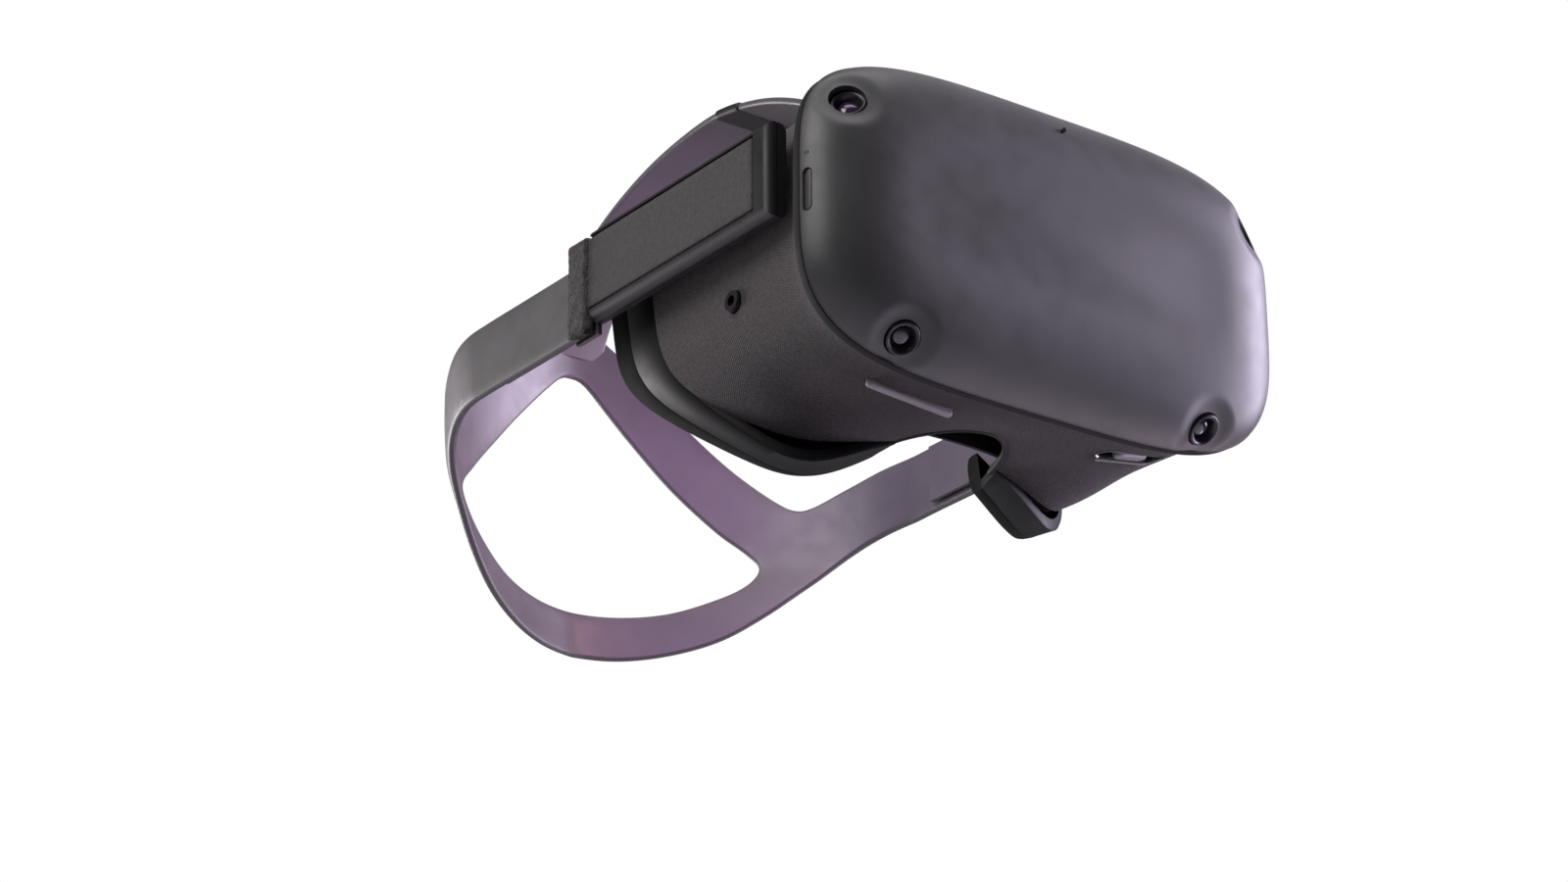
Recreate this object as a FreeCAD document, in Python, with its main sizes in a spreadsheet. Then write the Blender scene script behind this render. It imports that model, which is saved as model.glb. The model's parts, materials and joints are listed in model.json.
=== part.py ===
"""Stand-alone virtual reality headset: visor, two rigid side arms and a rubber head cradle.

The visor is modelled about its own seam: x = 0 is the middle, y = 0 the plane where the front cover
meets the fabric housing, z = 0 half way up the cover. +Y points to the back of the head, +X to the
wearer's left. Every sub-part is then placed by one shared offset, so that the finished model's origin
lies on the surface it rests on, under the middle of its box.
"""

import FreeCAD
import Part
import math
import os
import Sketcher

Vector = FreeCAD.Vector
Rotation = FreeCAD.Rotation

doc = FreeCAD.newDocument("headset")

# ---------------------------------------------------------------- driving dimensions, millimetres

DIMENSIONS = {
    "origin_back": 123.8,
    "origin_drop": 61.32,
    "cover_half_width": 94,
    "cover_half_height": 52.6,
    "cover_power": 3.9,
    "cover_depth": 18,
    "cover_roll": 27,
    "cover_wall": 2,
    "gasket_thick": 0.8,
    "gasket_inset": 1.2,
    "fabric_thick": 0.9,
    "housing_wall": 2.2,
    "skin_gap": 0.1,
    "shell_joint": 0.1,
    "face_centre_back": 162,
    "face_lean": 10,
    "face_inset": 1.4,
    "face_droop": 1.8,
    "nose_front": 25,
    "nose_reach": 48,
    "nose_half_width": 24,
    "nose_bridge": -16,
    "nose_round": 10,
    "face_radius": 92,
    "foam_front_radius": 97.5,
    "housing_edge_radius": 103.5,
    "foam_width": 12,
    "frame_wall": 2.4,
    "lobe_x": 49,
    "lobe_spread": 26,
    "notch_spread": 17,
    "arm_front": 13.5,
    "arm_back": 111,
    "arm_bottom": -3.5,
    "arm_top": 29,
    "arm_inner_x": 87.6,
    "arm_outer_x": 95,
    "arm_split_x": 91.3,
    "arm_corner": 3,
    "panel_front": 21,
    "panel_gap": 1,
    "panel_play": 0.45,
    "panel_bottom": 0.4,
    "panel_top": 26.6,
    "panel_depth": 2.6,
    "panel_thick": 1.8,
    "fold_front": 112.5,
    "fold_back": 123,
    "fold_bottom": -7,
    "fold_top": 27,
    "plate_front": 22.5,
    "plate_step": 111.6,
    "plate_back": 167,
    "plate_thick": 1.6,
    "plate_bottom": 2.4,
    "plate_height": 19.2,
    "plate_wide_bottom": -6.8,
    "plate_wide_height": 33.4,
    "plate_wide_back": 124,
    "plate_tail_bottom": -4.6,
    "plate_tail_height": 21,
    "band_thick": 3,
    "band_start": 118,
    "ring_bend": 178,
    "top_strap_half": 12,
    "top_strap_thick": 2.6,
    "pivot_back": 40,
    "pivot_up": 12,
    "pivot_radius": 3,
    "pivot_clearance": 0.05,
    "plate_slot": 0.4,
    "lens_apart": 64,
    "lens_radius": 23,
    "lens_thick": 9,
    "lens_front": 37,
    "barrel_radius": 26,
    "barrel_wall": 1.8,
    "barrel_back": 40,
    "display_half": 27,
    "display_thick": 1.6,
    "display_front": 18.6,
    "rail_radius": 1.5,
    "rail_clearance": 0.05,
    "rail_height": 34,
    "rail_back": 28,
    "rail_half": 68,
    "rail_boss_half": 5,
    "rack_back": 33,
    "rack_thick": 3,
    "rack_bar": 2.2,
    "pinion_up": 38,
    "tooth_module": 0.8,
    "pinion_teeth": 10,
    "tooth_slack": 0.3,
    "jack_out": 84,
    "jack_back": 48,
    "jack_up": -17,
    "jack_radius": 3.4,
    "jack_bore": 1.78,
    "jack_bore_length": 14,
    "jack_length": 16,
    "port_back": 48,
    "port_up": -31,
    "port_width": 8.94,
    "port_height": 3.26,
    "port_depth": 7.4,
    "button_length": 14,
    "button_width": 2.8,
    "fan_radius": 16,
    "fan_hub_radius": 7,
    "fan_blades": 11,
    "fan_depth": 8,
    "screw_radius": 1.5,
    "screw_head": 2.6,
    "screw_length": 6.5,
    "screw_front": -1,
    "head_thick": 1.6,
    "board_front": 12,
    "board_thick": 1.4,
    "board_width": 124,
    "board_height": 66,
    "board_bottom": -34,
    "spreader_front": 9,
    "spreader_thick": 2,
    "spreader_width": 116,
    "spreader_height": 58,
    "spreader_bottom": -30,
    "pack_front": -9.4,
    "pack_thick": 8.6,
    "pack_left": -34,
    "pack_width": 80,
    "pack_height": 52,
    "pack_round": 2,
    "sensor_front": 45.1,
    "sensor_thick": 2,
    "sensor_width": 8,
    "sensor_height": 5,
    "sensor_bottom": 22,
    "anchor_half": 15,
    "anchor_front": 28,
    "anchor_length": 16,
    "anchor_thick": 1.9,
    "anchor_bottom": 50.7,
    "link_left": 28,
    "link_width": 24.5,
    "link_front": 15,
    "link_length": 15,
    "link_thick": 1.8,
    "link_bottom": -39.4,
    "speaker_front": 72,
    "speaker_length": 24,
    "speaker_bottom": 8,
    "speaker_height": 9,
    "speaker_thick": 2,
    "speaker_sunk": 2.3,
    "speaker_play": 0.2,
    "pin_length": 13,
    "pin_end": 2.2,
    "boss_radius": 5.5,
    "boss_thick": 2,
    "boss_start": 78.5,
    "pinion_pin": 1.5,
    "pinion_pin_front": 30,
    "pinion_pin_length": 6.2,
    "bracket_half": 5,
    "bracket_thick": 1.8,
    "bracket_bottom": 35.8,
    "bracket_height": 10.8,
    "volume_tilt": 4.6,
}

sizes = doc.addObject("Spreadsheet::Sheet", "Sizes")
for row, (alias, number) in enumerate(DIMENSIONS.items(), start=1):
    sizes.set("A%d" % row, alias)
    sizes.set("B%d" % row, str(number))
    sizes.setAlias("B%d" % row, alias)
doc.recompute()


def size(alias):
    """The value of one driving dimension, read back from the sheet."""
    return float(sizes.get(alias))


SEAT = Vector(0, -size("origin_back"), size("origin_drop"))
X_AXIS = Vector(1, 0, 0)
Y_AXIS = Vector(0, 1, 0)
Z_AXIS = Vector(0, 0, 1)

nodes = {}

# ---------------------------------------------------------------- helpers


def keep(node, item):
    """Registers item as the sub-part called node, moved from the visor's own frame to the model's."""
    item.Label = node
    item.Placement = FreeCAD.Placement(SEAT, Rotation()) * item.Placement
    nodes[node] = item
    return item


def solid_of(shape):
    """The shape itself, or its solids in a compound when it has several."""
    return shape.Solids[0] if len(shape.Solids) == 1 else Part.Compound(shape.Solids)


def keep_shape(node, shape):
    """A sub-part whose form is set by Part's own functions."""
    item = doc.addObject("Part::Feature", node)
    item.Shape = solid_of(shape)
    return keep(node, item)


def block(name, corner, lengths):
    """A box with its lowest corner and its lengths bound to the sheet."""
    item = doc.addObject("Part::Box", name)
    for prop, text in zip(("Length", "Width", "Height"), lengths):
        item.setExpression(prop, text)
    for axis, text in zip("xyz", corner):
        item.setExpression(".Placement.Base." + axis, text)
    return item


def rod(name, radius, length, start, direction):
    """A cylinder that starts at a point and runs along a direction."""
    item = doc.addObject("Part::Cylinder", name)
    item.Placement.Rotation = Rotation(Z_AXIS, direction)
    item.setExpression("Radius", radius)
    item.setExpression("Height", length)
    for axis, text in zip("xyz", start):
        item.setExpression(".Placement.Base." + axis, text)
    return item


def cut(name, base, tool):
    """What is left of base outside tool."""
    item = doc.addObject("Part::Cut", name)
    item.Base = base
    item.Tool = tool
    return item


def fuse(name, items):
    """Several touching solids as one."""
    item = doc.addObject("Part::MultiFuse", name)
    item.Shapes = items
    return item


def keep_source(node, sources):
    """Keeps one or more objects as a sub-part: a compound with a Placement of its own."""
    item = doc.addObject("Part::Compound", node)
    item.Links = sources
    return keep(node, item)


def keep_pair(stem, right_item):
    """The wearer's right piece, drawn at -X, and its mirror image on the left."""
    left_item = doc.addObject("Part::Mirroring", stem + "_mirror")
    left_item.Source = right_item
    left_item.Normal = X_AXIS
    keep_source(stem + "_left", [left_item])
    keep_source(stem + "_right", [right_item])


def rounded(name, source, radius, is_edge):
    """Source with the edges that is_edge accepts rounded to one radius."""
    doc.recompute()
    picked = [i for i, edge in enumerate(source.Shape.Edges, start=1) if is_edge(edge)]
    item = doc.addObject("Part::Fillet", name)
    item.Base = source
    item.Edges = [(i, radius, radius) for i in picked]
    return item


def runs_along(edge, axis):
    """True for a straight edge parallel to an axis."""
    if not isinstance(edge.Curve, (Part.Line, Part.LineSegment)):
        return False
    return abs(edge.tangentAt(edge.FirstParameter).dot(axis)) > 0.999


def origin_plane(body, role):
    """One of a body's own three planes."""
    return next(f for f in body.Origin.OriginFeatures if f.Role == role)


def sketch_on(body, role, name, offset="0"):
    """A sketch on one of the body's own origin planes, moved along the plane's normal."""
    sketch = body.newObject("Sketcher::SketchObject", name)
    sketch.AttachmentSupport = [(origin_plane(body, role), "")]
    sketch.MapMode = "FlatFace"
    sketch.setExpression(".AttachmentOffset.Base.z", offset)
    return sketch


def draw_circle(sketch, across, up, radius):
    """A circle whose centre and radius are bound to the sheet."""
    number = sketch.addGeometry(Part.Circle(Vector(0, 0, 0), Z_AXIS, 1), False)
    bind(sketch, Sketcher.Constraint("Radius", number, 1), radius)
    bind(sketch, Sketcher.Constraint("DistanceX", -1, 1, number, 3, 1), across)
    bind(sketch, Sketcher.Constraint("DistanceY", -1, 1, number, 3, 1), up)


def draw_rectangle(sketch, left, bottom, width, height):
    """A rectangle whose lowest corner and lengths are bound to the sheet."""
    corners = [Vector(0, 0, 0), Vector(1, 0, 0), Vector(1, 1, 0), Vector(0, 1, 0)]
    first = sketch.GeometryCount
    for i in range(4):
        sketch.addGeometry(Part.LineSegment(corners[i], corners[(i + 1) % 4]), False)
    for i in range(4):
        follower = first + (i + 1) % 4
        sketch.addConstraint(Sketcher.Constraint("Coincident", first + i, 2, follower, 1))
        kind = "Horizontal" if i % 2 == 0 else "Vertical"
        sketch.addConstraint(Sketcher.Constraint(kind, first + i))
    bind(sketch, Sketcher.Constraint("DistanceX", first, 1, first, 2, 1), width)
    bind(sketch, Sketcher.Constraint("DistanceY", first + 1, 1, first + 1, 2, 1), height)
    bind(sketch, Sketcher.Constraint("DistanceX", -1, 1, first, 1, 1), left)
    bind(sketch, Sketcher.Constraint("DistanceY", -1, 1, first, 1, 1), bottom)


def bind(sketch, constraint, text):
    """Adds a constraint whose size follows an expression."""
    number = sketch.addConstraint(constraint)
    sketch.setExpression("Constraints[%d]" % number, text)


def pad(body, sketch, name, length, backwards=False):
    """A pad whose length follows an expression."""
    feature = body.newObject("PartDesign::Pad", name)
    feature.Profile = sketch
    feature.Reversed = backwards
    feature.setExpression("Length", length)
    body.Tip = feature
    return feature


def pocket(body, sketch, name, length, backwards=False):
    """A pocket, checked to have taken material away."""
    doc.recompute()
    before = body.Shape.Volume
    feature = body.newObject("PartDesign::Pocket", name)
    feature.Profile = sketch
    feature.Reversed = backwards
    feature.setExpression("Length", length)
    body.Tip = feature
    doc.recompute()
    if body.Shape.Volume > before - 1e-6:
        raise RuntimeError(name + " cuts nothing")
    return feature


def slab_body(name, role, offset, thick, slabs, holes=(), windows=()):
    """A flat piece: rectangles padded from one plane, then round holes and windows pocketed through it.

    XZ_Plane looks along -Y, so its pads and pockets are turned to run towards +Y like the others.
    """
    body = doc.addObject("PartDesign::Body", name)
    if role == "XZ_Plane":
        offset = "-(%s)" % offset
    turned = role == "XZ_Plane"
    for number, rectangle in enumerate(slabs):
        sketch = sketch_on(body, role, "%s_outline%d" % (name, number), offset)
        draw_rectangle(sketch, *rectangle)
        pad(body, sketch, "%s_pad%d" % (name, number), thick, turned)
    for number, circle in enumerate(holes):
        sketch = sketch_on(body, role, "%s_hole%d" % (name, number), offset)
        draw_circle(sketch, *circle)
        pocket(body, sketch, "%s_bore%d" % (name, number), thick, not turned)
    for number, rectangle in enumerate(windows):
        sketch = sketch_on(body, role, "%s_window%d" % (name, number), offset)
        draw_rectangle(sketch, *rectangle)
        pocket(body, sketch, "%s_cut%d" % (name, number), thick, not turned)
    return body


def prism(points, along, start, length):
    """A closed outline of points, extruded from start along an axis; points lie across that axis."""
    wire = Part.makePolygon(points + points[:1])
    face = Part.Face(wire)
    face.translate(along * start)
    return face.extrude(along * length)


# ---------------------------------------------------------------- the visor's outline


def signed_power(value, power):
    return math.copysign(abs(value) ** power, value)


def closed_spline(points):
    curve = Part.BSplineCurve()
    curve.interpolate(points, PeriodicFlag=True)
    return Part.Wire([curve.toShape()])


OUTLINE_POINTS = 40


def outline(y, half_width, half_height, lobe=0.0, notch=0.0):
    """A rounded, nearly rectangular ring of the visor; the bottom may carry cheek lobes and a nose notch."""
    points = []
    for i in range(OUTLINE_POINTS):
        turn = 2 * math.pi * (i + 0.5) / OUTLINE_POINTS
        x = half_width * signed_power(math.cos(turn), 2 / size("cover_power"))
        z = half_height * signed_power(math.sin(turn), 2 / size("cover_power"))
        if z < 0:
            bulge = lobe * math.exp(-(((abs(x) - size("lobe_x")) / size("lobe_spread")) ** 2))
            dent = notch * math.exp(-((x / size("notch_spread")) ** 2))
            z *= 1 + bulge - dent
        points.append(Vector(x, y, z))
    return closed_spline(points)


# distance behind the seam, half width, half height, cheek lobes, nose notch
HOUSING_STATIONS = [
    (0.4, 92.6, 51.2, 0.00, 0.00),
    (5.0, 88.4, 50.9, 0.00, 0.00),
    (11.0, 85.6, 50.7, 0.00, 0.00),
    (20.0, 84.2, 50.4, 0.01, 0.01),
    (38.0, 83.2, 50.0, 0.02, 0.05),
    (57.0, 82.6, 49.4, 0.105, 0.16),
    (80.0, 82.4, 48.4, 0.090, 0.30),
    (104.0, 82.6, 47.0, 0.070, 0.40),
    (132.0, 83.0, 45.5, 0.020, 0.44),
]


def visor_loft(inset, droop=0.0):
    """The visor's closed body behind the seam, shrunk all round by an inset; droop deepens its cheeks."""
    wires = []
    for y, width, height, lobe, notch in HOUSING_STATIONS:
        wires.append(outline(y, width - inset, height - inset, lobe * (1 + droop), notch))
    return Part.makeLoft(wires, True, False)


def face_cylinder(radius):
    """The wearer's face as an upright cylinder that leans back, so that its cheeks are further forward."""
    tall = 6 * size("cover_half_height")
    middle = Vector(0, size("face_centre_back"), 0)
    cylinder = Part.makeCylinder(radius, tall, middle - Z_AXIS * (tall / 2), Z_AXIS)
    cylinder.rotate(middle, X_AXIS, -size("face_lean"))
    return cylinder


def housing_space():
    """Everything in front of the housing's back edge, which runs parallel to the face."""
    tall = 4 * size("cover_half_height")
    keep_box = Part.makeBox(260, size("face_centre_back") + 60, tall, Vector(-130, -60, -tall / 2))
    return keep_box.cut(face_cylinder(size("housing_edge_radius")))


def nose_gap():
    """The nose's room: an oval bar that rises from below and is rounded over at the bridge."""
    bottom = -2 * size("cover_half_height")
    bridge = size("nose_bridge")
    oval = Part.Ellipse(Vector(0, 0, 0), size("nose_reach"), size("nose_half_width")).toShape()
    face = Part.Face(Part.Wire([oval]))
    bar = face.extrude(Z_AXIS * (bridge - bottom))
    rims = [edge for edge in bar.Edges if edge.CenterOfMass.z > bridge - bottom - 0.1]
    bar = bar.makeFillet(size("nose_round"), rims)
    bar.rotate(Vector(0, 0, 0), Z_AXIS, 90)
    bar.translate(Vector(0, size("nose_front") + size("nose_reach"), bottom))
    return bar


def face_ring(outer, inner, front_radius, back_radius):
    """The part of a visor tube between two concentric face cylinders."""
    tube = outer.cut(inner)
    slab = face_cylinder(front_radius).cut(face_cylinder(back_radius))
    tall = 4 * size("cover_half_height")
    front_half = Part.makeBox(260, size("face_centre_back") - 10, tall, Vector(-130, -40, -tall / 2))
    return tube.common(slab.common(front_half)).cut(nose_gap())


# ---------------------------------------------------------------- front cover and what it holds


def cover_body(inset, depth):
    """The front cover's pillow: its edge rolls over a quarter ellipse to a nearly flat front."""
    wires = []
    steps = 7
    for i in range(steps):
        turn = 0.5 * math.pi * i / (steps - 1)
        roll = size("cover_roll") * (1 - math.cos(turn))
        wires.append(
            outline(
                -depth * math.sin(turn),
                size("cover_half_width") - inset - roll,
                size("cover_half_height") - inset - roll,
            )
        )
    return Part.makeLoft(wires, True, False)


CAMERAS = {
    "bottom_right": (Vector(-61, -9.5, -45.4), Vector(-0.15, -0.70, -0.70)),
    "bottom_left": (Vector(61, -9.5, -45.4), Vector(0.15, -0.70, -0.70)),
    "top_right": (Vector(-81.5, -10.0, 29.0), Vector(-0.60, -0.70, 0.38)),
    "top_left": (Vector(81.5, -10.0, 29.0), Vector(0.60, -0.70, 0.38)),
}
CAMERA_RADIUS = 5.6
CAMERA_SUNK = 4.5


def camera_rod(where, facing, radius, below, above):
    """A cylinder on a camera's axis, from below the cover's surface to above it."""
    axis = Vector(facing).normalize()
    return Part.makeCylinder(radius, below + above, where - axis * below, axis)


def make_cover():
    cover = cover_body(0, size("cover_depth"))
    cover = cover.cut(cover_body(size("cover_wall"), size("cover_depth") - size("cover_wall")))
    for where, facing in CAMERAS.values():
        cover = cover.cut(camera_rod(where, facing, CAMERA_RADIUS + 0.4, 9, 9))
    slot = button_pill(1.0, 0.35)
    cover = cover.cut(slot)
    cover = cover.cut(Part.makeCylinder(0.9, 12, POWER_LED - X_AXIS * 6, X_AXIS))
    cover = cover.cut(Part.makeCylinder(1.1, 12, FRONT_LED - Y_AXIS * 8, Y_AXIS))
    cover.translate(Vector(0, -0.5 * size("gasket_thick"), 0))
    keep_shape("front_cover", cover)


POWER_BUTTON = Vector(-92.4, -4.2, -2.0)
POWER_LED = Vector(-92.0, -4.2, 10.5)
FRONT_LED = Vector(0, -14, 41)


def button_pill(extra_length, clearance):
    """The power button's rounded bar, standing on the cover's side, along Z."""
    width = size("button_width") + 2 * clearance
    half = 0.5 * (size("button_length") - size("button_width"))
    thick = 4 + extra_length
    start = POWER_BUTTON - X_AXIS * (0.5 * thick - 1.2)
    bar = Part.makeBox(thick, width, 2 * half, start - Y_AXIS * (width / 2) - Z_AXIS * half)
    for side in (-half, half):
        bar = bar.fuse(Part.makeCylinder(width / 2, thick, start + Z_AXIS * side, X_AXIS))
    return bar.removeSplitter()


def make_cover_details():
    pill = button_pill(0, 0)
    keep_shape("power_button", pill.translated(Vector(0, -0.5 * size("gasket_thick"), 0)))
    behind = Y_AXIS * (-0.5 * size("gasket_thick"))
    keep_shape("power_led", Part.makeCylinder(0.7, 3, POWER_LED + behind - X_AXIS * 1.5, X_AXIS))
    led = Part.makeCylinder(0.8, 3.2, FRONT_LED - Y_AXIS * 2.6, Y_AXIS)
    keep_shape("front_led", led)
    for name, (where, facing) in CAMERAS.items():
        barrel = camera_rod(where, facing, CAMERA_RADIUS, CAMERA_SUNK + 4, 0.2)
        barrel = barrel.cut(camera_rod(where, facing, CAMERA_RADIUS - 1.3, CAMERA_SUNK - 2, 3))
        keep_shape("camera_barrel_" + name, barrel)
        axis = Vector(facing).normalize()
        seat = where - axis * (CAMERA_SUNK - 2 - 0.05)
        lens = Part.makeCylinder(CAMERA_RADIUS - 1.4, 1.1, seat, axis)
        dome = Part.makeSphere(6.5, seat + axis * (1.1 - 5.0))
        cap = Part.makeCylinder(CAMERA_RADIUS - 1.4, 4, seat + axis * 1.05, axis)
        keep_shape("camera_lens_" + name, lens.fuse(dome.common(cap)).removeSplitter())


def make_gasket():
    thick = size("gasket_thick")
    inset = size("gasket_inset")
    outer = outline(0, size("cover_half_width") - inset, size("cover_half_height") - inset)
    inner = outline(0, size("cover_half_width") - inset - 4, size("cover_half_height") - inset - 4)
    ring = Part.Face(outer).cut(Part.Face(inner))
    ring.translate(Vector(0, -0.4 * thick, 0))
    keep_shape("seam_gasket", ring.extrude(Y_AXIS * (0.8 * thick)))


# ---------------------------------------------------------------- housing, its fabric and the face side


def side_holes(shape, clearance):
    """Cuts the openings for both audio jacks, the charging port, volume bar and lens slider."""
    for side in (-1, 1):
        reach = Part.makeCylinder(size("jack_radius") + clearance, 30, Vector(0, 0, 0), X_AXIS * side)
        reach.translate(Vector(side * 66, size("jack_back"), size("jack_up")))
        shape = shape.cut(reach)
    shape = shape.cut(port_body(30, clearance + 1.0))
    shape = shape.cut(volume_bar(30, clearance))
    shape = shape.cut(slider_recess(30, clearance))
    return shape


PORT_START = 66.6


def port_body(length, grow):
    """A stadium bar along X where the charging port's shell sits, on the wearer's left."""
    half = 0.5 * (size("port_width") - size("port_height"))
    radius = 0.5 * size("port_height") + grow
    start = Vector(PORT_START, size("port_back"), size("port_up"))
    bar = Part.makeBox(length, 2 * half, 2 * radius, start - Y_AXIS * half - Z_AXIS * radius)
    for side in (-half, half):
        bar = bar.fuse(Part.makeCylinder(radius, length, start + Y_AXIS * side, X_AXIS))
    return bar.removeSplitter()


VOLUME = Vector(-39, 16, -48)
VOLUME_HALF = 15
SLIDER = Vector(50.5, 16, -48)
SLIDER_HALF = 13.5


def volume_bar(depth, grow):
    radius = 1.6 + grow
    base = VOLUME - Z_AXIS * (0.5 * depth)
    bar = Part.makeBox(2 * VOLUME_HALF, 2 * radius, depth, base - X_AXIS * VOLUME_HALF - Y_AXIS * radius)
    for side in (-VOLUME_HALF, VOLUME_HALF):
        bar = bar.fuse(Part.makeCylinder(radius, depth, base + X_AXIS * side, Z_AXIS))
    bar = bar.removeSplitter()
    bar.rotate(VOLUME, Y_AXIS, size("volume_tilt"))
    return bar


def slider_recess(depth, grow):
    radius = 4.2 + grow
    half = SLIDER_HALF - radius
    base = SLIDER - Z_AXIS * (0.5 * depth)
    bar = Part.makeBox(2 * half, 2 * radius, depth, base - X_AXIS * half - Y_AXIS * radius)
    for side in (-half, half):
        bar = bar.fuse(Part.makeCylinder(radius, depth, base + X_AXIS * side, Z_AXIS))
    return bar.removeSplitter()


def make_housing():
    """The knitted skin, and the moulded shell under it in four quarters that meet on x = 0 and z = 0."""
    trim = housing_space()
    skin = size("fabric_thick")
    fabric = side_holes(visor_loft(0).cut(visor_loft(skin)).common(trim).cut(nose_gap()), 0.4)
    shell_inset = skin + size("skin_gap")
    shell = visor_loft(shell_inset).cut(visor_loft(shell_inset + size("housing_wall")))
    shell = side_holes(shell.common(trim).cut(nose_gap()), 0.2)
    for side in (-1, 1):
        hole = Part.makeCylinder(size("pivot_radius") + 0.3, 30, Vector(0, 0, 0), X_AXIS * side)
        hole.translate(Vector(side * 70, size("pivot_back"), size("pivot_up")))
        shell = shell.cut(hole)
        fabric = fabric.cut(hole)
    keep_shape("housing_fabric", fabric)
    joint = size("shell_joint")
    reach = 4 * size("cover_half_width")
    corner = Vector(-reach / 2, -reach / 2, -reach / 2)
    upright = Part.makeBox(joint, reach, reach, Vector(-joint / 2, corner.y, corner.z))
    level = Part.makeBox(reach, reach, joint, Vector(corner.x, corner.y, -joint / 2))
    keep_shape("rear_housing", shell.cut(upright).cut(level))


def make_face_side():
    """The stiff frame that clips to the housing's back edge, and the foam on it."""
    inset = size("face_inset")
    droop = size("face_droop")
    frame_outer = visor_loft(inset, droop)
    frame_inner = visor_loft(inset + size("frame_wall"), droop)
    front = size("housing_edge_radius") - 0.2
    keep_shape("face_frame", face_ring(frame_outer, frame_inner, front, size("foam_front_radius")))
    foam_inner = visor_loft(inset + size("foam_width"), droop)
    foam = face_ring(frame_outer, foam_inner, size("foam_front_radius") - 0.1, size("face_radius"))
    keep_shape("face_foam", foam)


def make_lens_baffle():
    """The soft black sheet between the two lenses and the housing wall, with two round windows."""
    inset = size("fabric_thick") + size("skin_gap") + size("housing_wall") + 0.3
    deck_front = size("lens_front") + 6.4
    stock = visor_loft(inset)
    slab = Part.makeBox(200, 1.5, 140, Vector(-100, deck_front, -70))
    sheet = stock.common(slab)
    for side in (-1, 1):
        centre = Vector(side * 0.5 * size("lens_apart"), deck_front - 1, 0)
        window = Part.makeCylinder(size("barrel_radius") + 0.8, 4, centre, Y_AXIS)
        stretch = window.fuse(window.translated(X_AXIS * (side * 4)))
        stretch = stretch.fuse(window.translated(X_AXIS * (side * -4)))
        sheet = sheet.cut(stretch)
    for side in (-1, 1):
        boss_end = Vector(side * 68, size("pivot_back"), size("pivot_up"))
        sheet = sheet.cut(Part.makeCylinder(size("boss_radius") + 0.7, 12, boss_end, X_AXIS * side))
    keep_shape("lens_baffle", solid_of(side_holes(sheet, 0.6)))


# ---------------------------------------------------------------- electronics between cover and lenses


def make_electronics():
    for node, stem in (("main_board", "board"), ("heat_spreader", "spreader")):
        across = "Sizes.%s_width" % stem
        outline_sizes = ("-%s / 2" % across, "Sizes.%s_bottom" % stem, across, "Sizes.%s_height" % stem)
        front, thick = "Sizes.%s_front" % stem, "Sizes.%s_thick" % stem
        keep_source(node, [slab_body(stem, "XZ_Plane", front, thick, [outline_sizes])])
    sensor = ("-Sizes.sensor_width / 2", "Sizes.sensor_bottom", "Sizes.sensor_width", "Sizes.sensor_height")
    body = slab_body("sensor", "XZ_Plane", "Sizes.sensor_front", "Sizes.sensor_thick", [sensor])
    keep_source("proximity_sensor", [body])
    pack = block(
        "pack",
        ("Sizes.pack_left", "Sizes.pack_front", "-Sizes.pack_height / 2"),
        ("Sizes.pack_width", "Sizes.pack_thick", "Sizes.pack_height"),
    )
    smooth_pack = rounded("pack_rounded", pack, size("pack_round"), lambda edge: runs_along(edge, Y_AXIS))
    keep_source("battery_pack", [smooth_pack])
    frame_outer = visor_loft(4.2)
    plate = frame_outer.common(Part.makeBox(200, 2, 140, Vector(-100, 3.2, -70)))
    window = Part.makeBox(size("pack_width") - 8, 10, size("pack_height") - 4)
    window.translate(Vector(size("pack_left") + 4, 0, 2 - size("pack_height") / 2))
    plate = plate.cut(window)
    vent = Part.makeCylinder(size("fan_radius") - 4, 12, FAN, Y_AXIS)
    plate = plate.cut(vent)
    for x, z in SCREW_PLACES:
        hole = Part.makeCylinder(size("screw_radius") + 0.2, 12, Vector(x, -2, z), Y_AXIS)
        plate = plate.cut(hole)
    keep_shape("chassis_plate", plate)


SCREW_PLACES = [(sx * x, sz * z) for x, z in ((70, 30), (45, 42)) for sx in (-1, 1) for sz in (-1, 1)]
FAN = Vector(-57, -11.2, 0)


def make_fan():
    """A flat blower beside the battery: an open square casing and a bladed wheel turning about Y."""
    reach = size("fan_radius")
    depth = size("fan_depth")
    outer = 2 * reach + 4
    casing = Part.makeBox(outer, depth, outer, FAN - Vector(reach + 2, 0, reach + 2))
    casing = casing.cut(Part.makeCylinder(reach + 0.6, depth, FAN + Y_AXIS * 1.2, Y_AXIS))
    casing = casing.cut(Part.makeCylinder(reach - 7, 3, FAN - Y_AXIS, Y_AXIS))
    spokes = Part.makeBox(outer - 4, 1.2, 3, FAN - Vector(reach, 0, 1.5))
    stub = Part.makeCylinder(1.5, 5, FAN, Y_AXIS)
    keep_shape("fan_casing", casing.fuse([spokes, stub]).removeSplitter())

    front = FAN + Y_AXIS * 1.8
    tall = depth - 2.6
    wheel = Part.makeCylinder(size("fan_hub_radius"), tall, front, Y_AXIS)
    for i in range(int(size("fan_blades"))):
        blade = Part.makeBox(reach - size("fan_hub_radius"), tall, 0.9, front + X_AXIS * 6.6)
        blade.rotate(front + X_AXIS * 6.6, Y_AXIS, 24)
        blade.rotate(FAN, Y_AXIS, 360 * i / size("fan_blades"))
        wheel = wheel.fuse(blade)
    wheel = wheel.cut(Part.makeCylinder(1.55, 5.5, FAN, Y_AXIS))
    keep_shape("fan_wheel", wheel.removeSplitter())


# ---------------------------------------------------------------- lenses that slide to the eyes' spacing


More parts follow.
